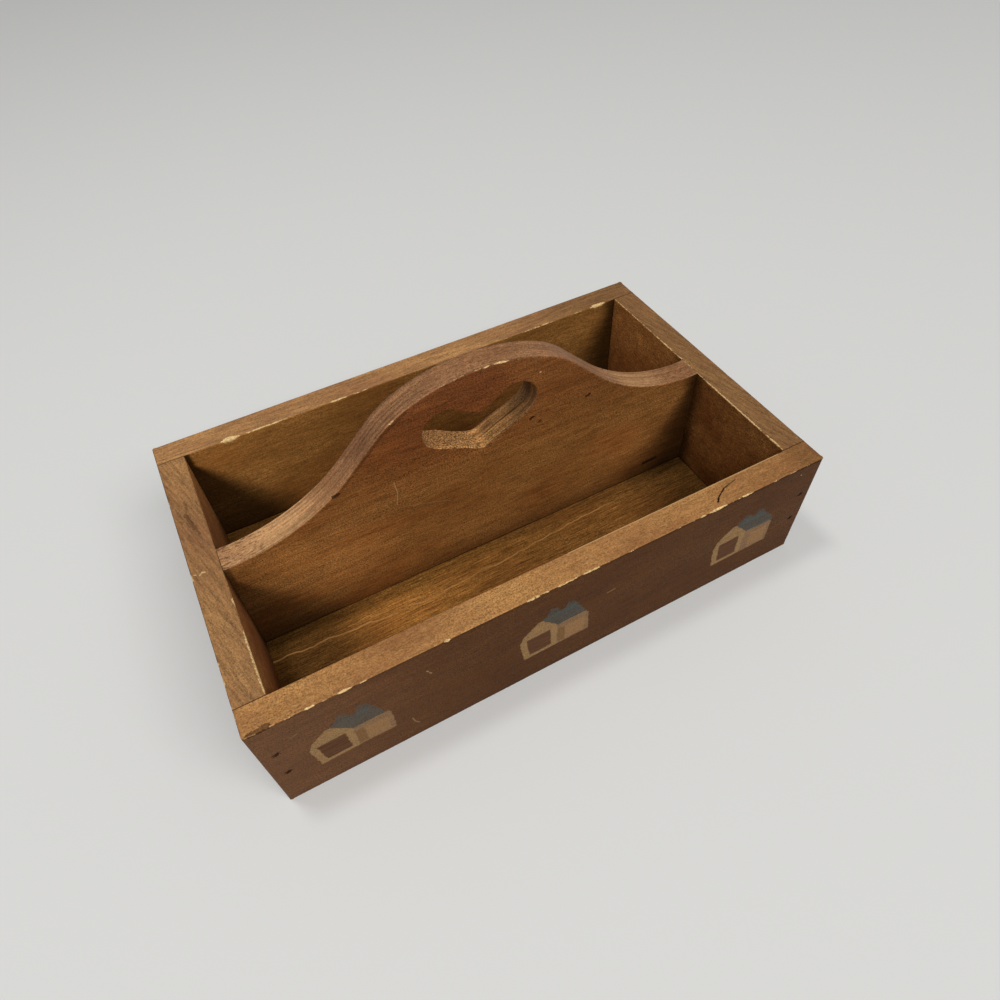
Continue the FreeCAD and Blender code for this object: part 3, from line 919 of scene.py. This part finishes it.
def divider_face(timber):
    """Divider faces: stain reddish near the handle, paler where hands reach; painted light and shade.
    """
    finish = bpy.context.scene.caddy_finish
    g, x, z = timber.graph, timber.x, timber.z
    redden = z.rise(80.0, 148.0) * (x.rise(-130.0, -50.0) * 0.6 + 0.2) * (1 - x.rise(5.0, 45.0) * 0.4)
    redden = redden + (timber.cloud - 0.5) * 0.8
    pale = g.blend(redden.clamped(), finish.inner_gold, finish.inner_red)
    deep = g.blend(redden.clamped(), finish.inner_brown, g.dim(finish.inner_red, 0.8))
    face = stained(timber, pale, deep, 0.9, 0.25, 0.6, 0.5, 0.0)
    tone = 0.77 + z.rise(80.0, 105.0) * x.rise(110.0, -20.0) * 0.1
    for place, gain in (
        ((-112, 66, 60, 45), 0.42), ((-147, 86, 28, 24), 0.35), ((-68, 147, 18, 9), 0.14),
        ((-40, 169, 9, 4), 0.25), ((116, 60, 42, 32), 0.32), ((100, 122, 60, 28), -0.08),
    ):
        tone = tone + timber.patch(*place) * gain
    # Painted shade: darker towards the foot, less round x = -92, and towards both ends; a darker strip
    # at the floor.
    foot = 0.3 - timber.patch(-92, 18, 50, 30) * 0.25
    tone = tone - z.rise(38.0, 8.0) * foot - z.rise(8.5, 6.8) * 0.3
    tone = tone * timber.painted_end_shade(0.62, 0.76, 88.0) * (timber.dash * 1.0 + 1)
    return g.dim(face, tone * timber.mottle(0.09))


def divider_edge(timber):
    """The sawn edge of the divider: its wood in layers along the top, and fresher in the heart."""
    finish = bpy.context.scene.caddy_finish
    g, x, z = timber.graph, timber.x, timber.z
    level_top = timber.normal[2].rise(0.9, 0.99)
    layers = timber.sheet * (2.6 - level_top * 1.7) + timber.dash * 0.5 + 1
    # Painted light and highlight: the sawn edge is lighter and paler along the left sweep, facing the
    # light.
    left_sweep_light = x.rise(-88.0, -142.0) - x.rise(-150.0, -178.0) * 0.5
    right_sweep = x.rise(102.0, 124.0) * x.rise(158.0, 140.0)
    shoulder = x.rise(-97.0, -77.0) * x.rise(-20.0, -40.0)
    sawn = stained(timber, finish.sawn_pink, finish.sawn_brown, 0.5, 0.1, 0.2, 0.4, 0.05)
    sawn = g.blend(left_sweep_light * 0.16 + right_sweep * 0.12, sawn, finish.bare_wood)
    sawn_tone = 0.9 + left_sweep_light * 0.5 - shoulder * 0.15 + right_sweep * 0.14
    foot = x.rise(-140.0, -172.0) * 0.3
    sawn = speckled(timber, sawn, level_top * 0.2 + foot + 0.15, foot * 0.6 + 0.12)
    sawn = g.dim(sawn, sawn_tone * layers)
    cut = stained(timber, finish.heart_tan, finish.sawn_brown, 0.6, 0.2, 0.4, 0.5, 0.05)
    net = timber.pattern(0.5, 1.3, detail=2, roughness=0.6, seed=83.0)
    flecks = net.rise(0.52, 0.42) * (x.rise(5.0, -5.0) * 0.72 + 0.12)
    cut = g.blend(flecks, cut, g.dim(finish.sawn_brown, 0.3))
    # Painted light and shade: the cut is lighter in the heart's left half and darker to the right.
    away = 1.12 - x.rise(1.0, 7.0) * 0.42 - x.rise(20.0, 31.0) * 0.24
    cut = g.dim(cut, away * (timber.sheet * (x.rise(-4.0, 6.0) * 3.2 + 0.8) + 1))
    in_heart = x.size().rise(44.0, 43.0) * z.rise(164.0, 163.0)
    return g.blend(in_heart, sawn, cut)


def divider_material():
    g = Graph("divider_wood")
    timber = Timber(g, "X", layers=3.3, heart=4000.0, seed=5.0)
    on_edge = timber.normal[1].size().rise(0.85, 0.7)
    shade = g.blend(on_edge, divider_face(timber), divider_edge(timber))
    spots_and_shade = timber.strokes(on_divider, DIVIDER_SPOTS)
    # Dark spots, and the painted shade under the arris.
    spots_and_shade = spots_and_shade.most(timber.strokes(on_divider, SHADE_UNDER_ARRIS, soft=1.6))
    scratches = timber.strokes(on_divider, DIVIDER_SCRATCHES, soft=0.4)
    return weathered(timber, shade, spots_and_shade, scratches, sheen=0.15)


def floor_material():
    finish = bpy.context.scene.caddy_finish
    g = Graph("floor_wood")
    timber = Timber(g, "X", layers=5.0, heart=90.0, seed=9.0)
    x, y = timber.x, timber.y
    gold = g.blend(0.45 - x.rise(-60.0, 60.0) * 0.2, finish.inner_gold, finish.inner_olive)
    deep = g.blend(0.35, finish.inner_brown, gold)
    shade = stained(timber, gold, deep, 0.7, 0.2, 0.6, 0.4, 0.03)
    grains = timber.pattern(0.035, 1.5, detail=2, roughness=0.6, seed=61.0) - 0.5
    # Painted shade beside the divider, deeper near the ends.
    beside = y.size().rise(20.0, 15.0) * (0.2 + x.size().rise(120.0, 175.0) * 0.22)
    # Painted light left of the middle, and painted shade over the right half.
    off_wall = y.size() - x.rise(-100.0, 0.0) * 9.0
    light_pool = x.rise(-155.0, -100.0) * x.rise(-5.0, -80.0) * off_wall.rise(17.0, 24.0) * 0.42
    tone = (light_pool + 0.84 - x.rise(-30.0, 30.0) * 0.12) * (1 - beside)
    lines = grains * 2.3 + timber.dash * 1.5 + 1
    # Painted shade towards both ends.
    shade = g.dim(shade, tone * lines * timber.painted_end_shade(0.52, 0.56) * timber.mottle(0.1))

    bend = timber.pattern(0.06, 0.02, seed=91.0) - 0.5
    off_scratch = y + 34.3 - (x + 68.0).size() * 0.066 + bend * 7.0
    broken = timber.pattern(0.05, 0.01, seed=97.0).rise(0.4, 0.55)
    beyond = (off_scratch - 5.0 + bend * 3.0).size().rise(0.7, 0.1)
    beyond = beyond * x.rise(-20.0, -45.0) * x.rise(-135.0, -110.0)
    scratch = off_scratch.size().rise(0.9, 0.1) * x.rise(125.0, 90.0) * (broken * 0.3 + 0.4)
    shade = g.blend(scratch.most(beyond * broken * 0.5), shade, finish.heart_tan)
    return weathered(timber, shade, sheen=0.05)


def nail_material():
    finish = bpy.context.scene.caddy_finish
    g = Graph("nail_steel")
    timber = Timber(g, "X")
    shade = g.dim(finish.nail_steel, 0.6 + timber.fleck * 0.8)
    return g.finish(shade, 0.45 + timber.fleck * 0.3, timber.fleck, 0.3, Metallic=0.7)


# ---- Divider and handle -------------------------------------------------------------------------
def arc(centre, radius, start, end, step):
    """Points along an arc in the XZ plane. Angles are from +X towards +Z."""
    count = max(2, round(abs(end - start) * radius / step))
    angles = np.linspace(start, end, count + 1)
    return [(centre[0] + radius * math.cos(a), centre[1] + radius * math.sin(a)) for a in angles]


def line(start, end, step):
    """Points along a straight run."""
    count = max(1, round(math.dist(start, end) / step))
    return [tuple(np.array(start) + (np.array(end) - start) * i / count) for i in range(count + 1)]


def joined(*runs):
    """Runs of points as one, without the doubled point where two of them meet."""
    points = []
    for run in runs:
        points += [p for p in run if not points or math.dist(p, points[-1]) > 1e-6]
    return points


def mirrored(points):
    """The other half of a symmetric outline, so that it carries on from the first."""
    return [(-x, z) for x, z in reversed(points)]


def ogee_points(sizes, low, high, rim, step):
    """Right half of the handle's outline, from the end wall up to the crown."""
    crown_angle = sizes.crown_half_angle
    crown_centre = (0.0, high.z - sizes.crown_radius)
    inwards = sizes.crown_radius - sizes.shoulder_radius
    shoulder_x = math.sin(crown_angle) * inwards
    shoulder_z = crown_centre[1] + math.cos(crown_angle) * inwards
    sweep_x = high.x - sizes.rim_flat
    run, drop = sweep_x - shoulder_x, rim - shoulder_z
    reach = run ** 2 + drop ** 2 - sizes.shoulder_radius ** 2 - sizes.slope ** 2
    sweep_radius = reach / (2 * (sizes.shoulder_radius - drop))
    sweep_z = rim + sweep_radius
    bearing = math.atan2(run, sweep_z - shoulder_z)
    slope_angle = bearing - math.atan2(sizes.slope, sweep_radius + sizes.shoulder_radius)
    up = math.pi / 2
    sweep = arc((sweep_x, sweep_z), sweep_radius, -up, -up - slope_angle, step)
    shoulder_end = up - crown_angle
    shoulder = arc(
        (shoulder_x, shoulder_z), sizes.shoulder_radius, up - slope_angle, shoulder_end, step
    )
    crown = arc(crown_centre, sizes.crown_radius, shoulder_end, up, step)
    return joined(
        line((high.x, rim), (sweep_x, rim), step), sweep, line(sweep[-1], shoulder[0], step),
        shoulder, crown,
    )


def heart_points(sizes, crown, step):
    """The heart's outline, clockwise from its tip, so that the wood lies on the left."""
    top = crown - sizes.grip
    lobe = np.array((-(sizes.heart_width / 2 - sizes.heart_lobe), top - sizes.heart_lobe))
    tip, notch = (0.0, top - sizes.heart_height), (0.0, top - sizes.heart_notch)

    def tangent_angle(corner, turn):
        """Lean from upright of the line from a corner that touches the left lobe."""
        way = lobe - corner
        distance = math.hypot(*way)
        return math.atan2(-way[0], way[1]) + turn * math.asin(sizes.heart_lobe / distance)

    low_lean, high_lean = tangent_angle(tip, 1), tangent_angle(notch, -1)
    down = -math.pi / 2
    tip_centre = (0.0, tip[1] + sizes.tip_radius / math.sin(low_lean))
    notch_centre = (0.0, notch[1] + sizes.notch_radius / math.sin(high_lean))
    tip_arc = arc(tip_centre, sizes.tip_radius, down, down - (math.pi / 2 - low_lean), step / 3)
    lobe_arc = arc(lobe, sizes.heart_lobe, math.pi + low_lean, high_lean, step)
    notch_arc = arc(
        notch_centre, sizes.notch_radius, down - (math.pi / 2 - high_lean), down, step / 3
    )
    half = joined(
        tip_arc, line(tip_arc[-1], lobe_arc[0], step), lobe_arc,
        line(lobe_arc[-1], notch_arc[0], step), notch_arc,
    )
    return joined(half, mirrored(half))[:-1]


def mitres(loop):
    """Outward direction at each point of a closed outline, long enough to offset both its sides."""
    following = np.roll(loop, -1, axis=0) - loop
    following /= np.linalg.norm(following, axis=1, keepdims=True)
    after = np.stack((following[:, 1], -following[:, 0]), axis=1)
    before = np.roll(after, 1, axis=0)
    return (before + after) / (1 + np.sum(before * after, axis=1, keepdims=True))


# Shares of the quarter turn from a face to the edge, and places across the edge in millimetres.
ROUNDING_STEPS = (1.0, 0.75, 0.5, 0.25, 0.0)
ACROSS_EDGE = (-7.4, -5.0, -2.5, 0.0)


def edge_rings(radius, half, supports):
    """Places round a board's edge, from one face over the edge to the other: inset and height."""
    rings = []
    for share_round in ROUNDING_STEPS:
        angle = share_round * math.pi / 2
        rings.append((radius * (1 - math.cos(angle)), radius * (1 - math.sin(angle)) - half))
    zero = radius * 0
    for across in ACROSS_EDGE:
        rings.append((zero, zero + across * MM))
    face_rings = [(radius + support, zero - half) for support in supports]
    first_half = face_rings[::-1] + rings
    second_half = [(inset, -height) for inset, height in reversed(first_half[:-1])]
    return first_half + second_half


def inside(outline, points):
    """For each point, whether it lies inside a closed outline."""
    x, z = points[:, 0:1], points[:, 1:2]
    x0, z0 = outline[:, 0], outline[:, 1]
    x1, z1 = np.roll(x0, -1), np.roll(z0, -1)
    crosses = ((z0 > z) != (z1 > z)) & (x < x0 + (z - z0) * (x1 - x0) / (z1 - z0 + 1e-12))
    return crosses.sum(axis=1) % 2 == 1


def divider_faces(outer, heart):
    """Triangles that fill a face of the divider, between its outline and the heart."""
    grid = 12 * MM
    x_places = np.arange(outer[:, 0].min(), outer[:, 0].max(), grid)
    z_places = np.arange(outer[:, 1].min(), outer[:, 1].max(), grid)
    spread = np.array([(x, z) for x in x_places for z in z_places])
    rim = np.concatenate((outer, heart))
    clear = np.array([np.hypot(*(rim - p).T).min() > grid * 0.45 for p in spread])
    spread = spread[inside(outer, spread) & ~inside(heart, spread) & clear]
    points = np.concatenate((rim, spread))
    n, m = len(outer), len(heart)
    edges = [(i, (i + 1) % n) for i in range(n)] + [(n + i, n + (i + 1) % m) for i in range(m)]
    found = geometry.delaunay_2d_cdt([Vector(p) for p in points], edges, [], 0, 1e-7)
    corners = np.array([tuple(p) for p in found[0]])
    triangles = np.array(found[2])
    centres = corners[triangles].mean(axis=1)
    keep = inside(outer, centres) & ~inside(heart, centres)
    origin = [ids[0] for ids in found[3]]
    triangles = [[origin[i] for i in triangle] for triangle in triangles[keep]]
    return spread, triangles


# Where the saw strayed on each side of the heart: place, half width and height, in millimetres.
FRONT_STRAYS = ((-14, 4, 0.8), (-31, 5, -0.5))
REAR_STRAYS = ((-26, 7, 1.2), (0, 5, 1.2), (13, 9, 1.2))


def saw_wander(loop, side):
    """How far the saw strayed into the heart's lower edges, from -1 at the front to 1 at the rear."""
    x = loop[:, 0] / MM
    low = np.clip((loop[:, 1].mean() - loop[:, 1]) / (4 * MM), 0, 1)
    share_rear = (side + 1) / 2
    strayed = bumps(x, FRONT_STRAYS) * (1 - share_rear) + bumps(x, REAR_STRAYS) * share_rear
    return strayed * low * MM


def bumps(x, hills):
    """Sum of rounded hills, each given as its place, half width and height."""
    return sum(height * np.exp(-(((x - place) / half) ** 2)) for place, half, height in hills)


# Spacing of points on the curves and on the straight sides, how close counts as touching, how far
# the rounding runs out at a corner, and where more rings lie on the faces beside each edge.
FINE_STEP = 2.0 * MM
COARSE_STEP = 9.0 * MM
NEAR = 0.1 * MM
CORNER_REACH = 8 * MM
OUTER_SUPPORTS = (0.5 * MM, 1.6 * MM)
HEART_SUPPORTS = (0.4 * MM,)
HANDLE_CHIP_DEPTH = 0.25
FACE_MARKS = {"gap": 20.0, "bare": 0.0, "seam": 0.0}


def divider_loops(sizes, low, high, rim):
    """The divider's own outline and the heart's, each as an array of points in the XZ plane."""
    half_ogee = ogee_points(sizes, low, high, rim, FINE_STEP)
    ogee = joined(half_ogee, mirrored(half_ogee))
    corners = ((low.x, rim), (low.x, low.z), (high.x, low.z), (high.x, rim))
    sides = [line(*ends, COARSE_STEP) for ends in zip(corners, corners[1:])]
    outer = joined(*sides, ogee)[:-1]
    return np.array(outer), np.array(heart_points(sizes, high.z, FINE_STEP * 0.75))


def corner_room(loop, low, high, rim):
    """From 0 at the divider's four corners to 1 a little way off, where an edge may be rounded."""
    beside = high.x - abs(loop[:, 0])
    to_rim = np.hypot(beside, loop[:, 1] - rim)
    to_foot = np.hypot(beside, loop[:, 1] - low.z)
    return np.clip(np.minimum(to_rim, to_foot) / CORNER_REACH, 0, 1)


def divider_mesh(sizes, courses):
    """Points, faces and marks of the divider."""
    low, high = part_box("divider_handle")
    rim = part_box("front_board")[1].z
    half = (high.y - low.y) / 2
    loops = divider_loops(sizes, low, high, rim)
    points, faces, marks = [], [], {name: [] for name in FACE_MARKS}
    face_loops = {FRONT: [], REAR: []}
    for loop, course, supports in zip(loops, courses, (OUTER_SUPPORTS, HEART_SUPPORTS)):
        in_heart = loop is loops[1]
        free = (loop[:, 1] > rim - NEAR) & (abs(loop[:, 0]) < high.x - NEAR)
        worn = np.where(free, course.width(loop[:, 0] / MM), 0.0)
        chipped = sizes.handle_ease + (0.0 if in_heart else worn * HANDLE_CHIP_DEPTH * MM)
        room = corner_room(loop, low, high, rim)
        radius = sizes.seam_ease + (chipped - sizes.seam_ease) * room * free
        outward = mitres(loop)
        rings = edge_rings(radius, half, [support * (0.15 + 0.85 * room) for support in supports])
        start, count = len(points), len(loop)
        for inset, height in rings:
            marks["gap"] += list(np.hypot(inset, half - abs(height)) / MM)
            marks["bare"] += list(np.where(height < 0, worn, worn * 0.5))
            marks["seam"] += list(np.where(free, 0.0, JOINT_SEAM))
            if in_heart:
                inset = inset - saw_wander(loop, height / half)
            flat = loop - outward * inset[:, None]
            points += [(x, y, z) for (x, z), y in zip(flat, height)]
        for k in range(len(rings) - 1):
            for i in range(count):
                a, b = start + k * count + i, start + k * count + (i + 1) % count
                faces.append((a, a + count, b + count, b))
        face_loops[FRONT].append(range(start, start + count))
        face_loops[REAR].append(range(start + (len(rings) - 1) * count, start + len(rings) * count))
    for side, (outer_ids, heart_ids) in face_loops.items():
        rim_ids = list(outer_ids) + list(heart_ids)
        flat = np.array([(points[i][0], points[i][2]) for i in rim_ids])
        spread, triangles = divider_faces(flat[: len(outer_ids)], flat[len(outer_ids):])
        ids = rim_ids + list(range(len(points), len(points) + len(spread)))
        points += [(x, side * half, z) for x, z in spread]
        for name, value in FACE_MARKS.items():
            marks[name] += [value] * len(spread)
        faces += [tuple(ids[i] for i in triangle)[::-side] for triangle in triangles]
    return points, faces, marks


# ---- Operators ----------------------------------------------------------------------------------
# Worn patches are each given by where they start and end along the edge, and how wide they are.
FRONT_RIM_COURSE = Course(
    base=0.08, gain=0.4, pitch=5.0, seed=3.0,
    patches=(
        (-200, -131, 0.1), (-200, -195, 0.4), (-190, -186, 0.5), (-180, -175, 0.35),
        (-167, -163, 0.9), (-158, -155, 0.4), (-150, -141, 0.85), (-136, -131, 0.5),
        (-84, -80.5, 1.3), (-37, -34, 0.4), (-30, -20, 0.65), (-19, -14, 0.6), (-9, 4, 0.6),
        (9, 22, 0.7), (26, 29, 0.45), (41, 47, 0.45), (80, 83, 0.5), (89, 95, 0.5), (98, 103, 0.7),
        (106, 119, 0.9), (124, 127, 0.4), (130, 141, 0.7), (158, 163, 0.5), (171, 182, 0.35),
        (188, 194, 0.3),
    ),
)
REAR_RIM_COURSE = Course(
    base=0.2, gain=0.8, pitch=14.0, seed=9.0,
    patches=((-156, -146, 2.6), (-140, -114, 0.6), (-73, -61, 0.55), (93, 119, 0.4), (161, 173, 1.8)),
)
HANDLE_COURSE = Course(
    base=0.15, gain=0.6, pitch=12.0, seed=33.0,
    patches=((-28, 2, 0.4), (2, 8, 0.6), (11, 21, 0.7), (-62, -58, 0.8)),
)
HEART_COURSE = Course(base=0.3, gain=0.3, pitch=12.0, seed=35.0)

# Each long wall's name, and the wear of its outer and inner upper arris.
LONG_WALLS = {
    FRONT: ("front", FRONT_RIM_COURSE, Course(0.1, 0.7, 24.0, seed=5.0)),
    REAR: ("rear", Course(0.05, 0.8, 12.0, seed=21.0), REAR_RIM_COURSE),
}
REAR_LOOK = {"rim": 1.0, "film": 0.04}

# The end walls: patches on the outer upper arris, wear of the inner one, and what their material
# takes: strength of the rim, inner tones in front, behind and at the foot, which are painted light
# and shade, dusty film, and marks.
END_WALLS = {
    LEFT: {
        "name": "left",
        "outer_patches": ((-108, -100, 0.5), (-75, -71, 0.7), (-8, -3, 0.9), (60, 64, 0.6)),
        "inner": Course(0.25, 0.6, 20.0, seed=13.0, patches=((-102, -58, 0.9), (-38, -32, 0.9))),
        "look": {
            "rim": 0.82,
            "inside": (1.36, 1.36, 0.58),
            "film": 0.14,
            "stains": (
                (-193.3, 59, -193.4, 50, 1.7, 0.3),
                (-195, 47, -194, 42, 2.2, 0.45),
                (-194, 42, -191.6, 33, 2.4, 0.45),
                (-191.6, 33, -190.2, 27, 1.2, 0.35),
                (-199, 43, -198.4, 41, 1.2, 0.3),
            ),
            "scuffs": (
                (-201, -4, -200, -4.6, 0.4, 0.5),
                (-198, -6, -196, -4.4, 0.5, 0.5),
                (-196, -4.4, -194.6, -5, 0.7, 0.7),
            ),
        },
    },
    RIGHT: {
        "name": "right",
        "outer_patches": (),
        "inner": Course(0.55, 0.7, 20.0, seed=17.0, patches=((-98, -88, 0.5), (-80, -20, 0.25))),
        "look": {"rim": 0.62, "inside": (0.76, 1.18, 0.2), "film": 0.03},
    },
}


class CADDY_OT_long_walls(bpy.types.Operator):
    """Build the front and rear walls, with their worn rims, rabbets and nail slots"""

    bl_idname = "caddy.long_walls"
    bl_label = "Long Walls"

    def execute(self, context):
        sizes = context.scene.caddy_sizes
        room = (-ROOM_END * MM, ROOM_END * MM)
        for face, (name, outer_course, inner_course) in LONG_WALLS.items():
            arrises = [
                Arris({Y: face, Z: UP}, sizes.edge_ease, outer_course, seam=EDGE_SEAM),
                Arris({Y: -face, Z: UP}, sizes.rim_ease, inner_course, free=room),
                Arris({Y: face, Z: DOWN}, sizes.edge_ease, Course(0.2, 0.8, 20.0, seed=31.0)),
                Arris({Y: -face, Z: DOWN}, sizes.seam_ease),
            ]
            for end in (LEFT, RIGHT):
                arrises += [
                    Arris({X: end, Y: face}, sizes.corner_ease, Course(0.1, 1.0, 12.0, seed=end)),
                    Arris({X: end, Y: -face}, sizes.seam_ease, seam=JOINT_SEAM),
                    Arris({X: end, Z: UP}, sizes.edge_ease, Course(0.2, 1.2, 10.0, seed=4 + end)),
                    Arris({X: end, Z: DOWN}, sizes.edge_ease),
                ]
            boxes = [rabbet_box()]
            boxes += slot_boxes(f"{name}_left_corner_nails", sizes.left_nail_turn, sizes)
            boxes += slot_boxes(f"{name}_right_corner_nails", sizes.right_nail_turn, sizes)
            step = (sizes.mesh_step, 12 * MM, 9 * MM)
            wall = board_piece(f"{name}_wall", f"{name}_board", arrises, step, boxes)
            if face == FRONT:
                wall.data.materials.append(front_wall_material())
            else:
                layout = {"layers": 3.6, "heart": 380.0, "seed": 3.0}
                material = wall_material("rear_wood", "X", layout, (Y, REAR), REAR_LOOK)
                wall.data.materials.append(material)
        return {"FINISHED"}


class CADDY_OT_end_walls(bpy.types.Operator):
    """Build the two end walls that the long walls are nailed to"""

    bl_idname = "caddy.end_walls"
    bl_label = "End Walls"

    def execute(self, context):
        sizes = context.scene.caddy_sizes
        turns = {LEFT: sizes.left_nail_turn, RIGHT: sizes.right_nail_turn}
        for side, wear in END_WALLS.items():
            name = wear["name"]
            outer_course = Course(0.15, 1.2, 9.0, seed=23.0 + side, patches=wear["outer_patches"])
            foot_course = Course(0.1, 0.8, 14.0, seed=27.0 + side)
            arrises = [
                Arris({X: side, Z: UP}, sizes.edge_ease, outer_course),
                Arris({X: -side, Z: UP}, sizes.rim_ease, wear["inner"]),
                Arris({X: side, Z: DOWN}, sizes.edge_ease, foot_course),
                Arris({X: -side, Z: DOWN}, sizes.seam_ease),
            ]
            for face in (FRONT, REAR):
                arrises += [
                    Arris({X: side, Y: face}, sizes.seam_ease, seam=JOINT_SEAM),
                    Arris({X: -side, Y: face}, sizes.seam_ease, seam=JOINT_SEAM),
                    Arris({Y: face, Z: UP}, sizes.seam_ease, seam=JOINT_SEAM),
                    Arris({Y: face, Z: DOWN}, sizes.seam_ease),
                ]
            boxes = [rabbet_box()] + slot_boxes(f"{name}_divider_nails", turns[side], sizes)
            step = (12 * MM, sizes.mesh_step, 9 * MM)
            wall = board_piece(f"{name}_wall", f"{name}_end_board", arrises, step, boxes)
            layout = {"layers": 3.4, "heart": side * 420.0, "slant": 0.25, "seed": 11.0 + side}
            material = wall_material(f"{name}_wood", "Y", layout, (X, side), wear["look"])
            wall.data.materials.append(material)
        return {"FINISHED"}


class CADDY_OT_divider(bpy.types.Operator):
    """Build the tall divider with its ogee top and heart-shaped hand hole"""

    bl_idname = "caddy.divider"
    bl_label = "Divider and Handle"

    def execute(self, context):
        courses = (HANDLE_COURSE, HEART_COURSE)
        points, faces, marks = divider_mesh(context.scene.caddy_sizes, courses)
        divider = new_piece("divider", points, faces)
        write_marks(divider, marks)
        divider.data.materials.append(divider_material())
        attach(divider, "root")
        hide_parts("divider_handle")
        return {"FINISHED"}


class CADDY_OT_floor_panel(bpy.types.Operator):
    """Build the thin floor panel, with a slot over every brad"""

    bl_idname = "caddy.floor_panel"
    bl_label = "Floor Panel"

    def execute(self, context):
        sizes = context.scene.caddy_sizes
        pairs = [(axis, side) for axis in (X, Y) for side in (-1, 1)]
        arrises = [Arris({a: side, Z: up}, sizes.seam_ease) for a, side in pairs for up in (DOWN, UP)]
        arrises += [Arris({X: x, Y: y}, sizes.seam_ease) for x in (LEFT, RIGHT) for y in (FRONT, REAR)]
        boxes = []
        for name, count, along in (
            ("front", sizes.long_wall_brads, X), ("rear", sizes.long_wall_brads, X),
            ("left", sizes.end_wall_brads, Y), ("right", sizes.end_wall_brads, Y),
            ("divider", sizes.divider_brads, X),
        ):
            boxes += brad_boxes(f"{name}_floor_brads", count, along, sizes)
        step = (16 * MM, 16 * MM, 3 * MM)
        panel = board_piece("floor_board", "floor_panel", arrises, step, boxes)
        panel.data.materials.append(floor_material())
        return {"FINISHED"}


class CADDY_OT_nails(bpy.types.Operator):
    """Give the nails and brads their darkened steel"""

    bl_idname = "caddy.nails"
    bl_label = "Nails and Brads"

    def execute(self, context):
        steel = nail_material()
        for name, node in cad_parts.items():
            if name.endswith(("_nails", "_brads")):
                node.data.materials.clear()
                node.data.materials.append(steel)
        return {"FINISHED"}


def add_lamp(name, place, power, size):
    """A rectangular lamp that shines at the origin."""
    data = bpy.data.lights.new(name, "AREA")
    data.shape = "RECTANGLE"
    data.energy = power
    data.size, data.size_y = size
    lamp = bpy.data.objects.new(name, data)
    lamp.location = place
    lamp.rotation_euler = place.to_track_quat("Z", "Y").to_euler()
    bpy.context.scene.collection.objects.link(lamp)


KEY_PLACE = Vector((-0.40, 0.20, 1.80))
FILL_PLACE = Vector((0.0, -4.20, 5.60))
WORLD_COLOUR = (1.0, 0.985, 0.965, 1.0)
CAMERA_PLACE = Vector((-0.13901, -0.31864, 0.46507))
CAMERA_RIGHT = Vector((0.88096379, -0.47188534, -0.03502895))
CAMERA_UP = Vector((0.38314816, 0.6679396, 0.63800798))
CAMERA_BACK = Vector((-0.27766939, -0.5754832, 0.7692326))
SENSOR_WIDTH = 36.0


def add_floor(studio):
    """The pale floor round the caddy."""
    half = studio.floor_size / 2
    corners = [(-half, -half, 0), (half, -half, 0), (half, half, 0), (-half, half, 0)]
    floor = new_piece("studio_floor", corners, [(0, 1, 2, 3)])
    g = Graph("studio_floor")
    surface = {"Base Color": studio.floor_colour, "Roughness": 0.9, "Specular IOR Level": 0.1}
    shader = g.node("ShaderNodeBsdfPrincipled", None, surface)
    g.node("ShaderNodeOutputMaterial", None, {"Surface": shader})
    floor.data.materials.append(g.material)


def add_camera(studio):
    """The camera, which looks down at the front and the left end."""
    data = bpy.data.cameras.new("view")
    data.lens = studio.focal_length
    data.sensor_width = SENSOR_WIDTH
    data.clip_start = 0.01
    camera = bpy.data.objects.new("view", data)
    turn = Matrix((CAMERA_RIGHT, CAMERA_UP, CAMERA_BACK)).transposed().to_4x4()
    camera.matrix_world = Matrix.Translation(CAMERA_PLACE) @ turn
    bpy.context.scene.collection.objects.link(camera)
    bpy.context.scene.camera = camera


class CADDY_OT_stage(bpy.types.Operator):
    """Set up the pale floor, the soft lamps and the camera"""

    bl_idname = "caddy.stage"
    bl_label = "Studio"

    def execute(self, context):
        studio = context.scene.caddy_studio
        add_floor(studio)
        world = bpy.data.worlds.new("studio")
        world.use_nodes = True
        background = world.node_tree.nodes["Background"]
        background.inputs["Color"].default_value = WORLD_COLOUR
        background.inputs["Strength"].default_value = studio.world_light
        context.scene.world = world
        add_lamp("key", KEY_PLACE, studio.key_power, (studio.key_size, studio.key_size))
        add_lamp("fill", FILL_PLACE, studio.fill_power, (studio.fill_width, studio.fill_depth))
        add_camera(studio)
        context.scene.view_settings.view_transform = "Standard"
        return {"FINISHED"}


OPERATORS = (
    CADDY_OT_long_walls,
    CADDY_OT_end_walls,
    CADDY_OT_divider,
    CADDY_OT_floor_panel,
    CADDY_OT_nails,
    CADDY_OT_stage,
)


class CADDY_PT_sidebar(bpy.types.Panel):
    """Steps that build the caddy's looks"""

    bl_label = "Caddy"
    bl_idname = "CADDY_PT_sidebar"
    bl_space_type = "VIEW_3D"
    bl_region_type = "UI"
    bl_category = "Caddy"

    def draw(self, context):
        for operator in OPERATORS:
            self.layout.operator(operator.bl_idname)
        for name in PROPERTY_GROUPS:
            settings = getattr(context.scene, name)
            box = self.layout.box()
            for key in settings.bl_rna.properties.keys():
                if key not in {"rna_type", "name"}:
                    box.prop(settings, key)


def register():
    for name, group in PROPERTY_GROUPS.items():
        bpy.utils.register_class(group)
        setattr(bpy.types.Scene, name, PointerProperty(type=group))
    for cls in (*OPERATORS, CADDY_PT_sidebar):
        bpy.utils.register_class(cls)


def unregister():
    for cls in (CADDY_PT_sidebar, *reversed(OPERATORS)):
        bpy.utils.unregister_class(cls)
    for name, group in PROPERTY_GROUPS.items():
        delattr(bpy.types.Scene, name)
        bpy.utils.unregister_class(group)


def main():
    register()
    for operator in OPERATORS:
        module, name = operator.bl_idname.split(".")
        getattr(getattr(bpy.ops, module), name)()


if __name__ == "__main__":
    main()
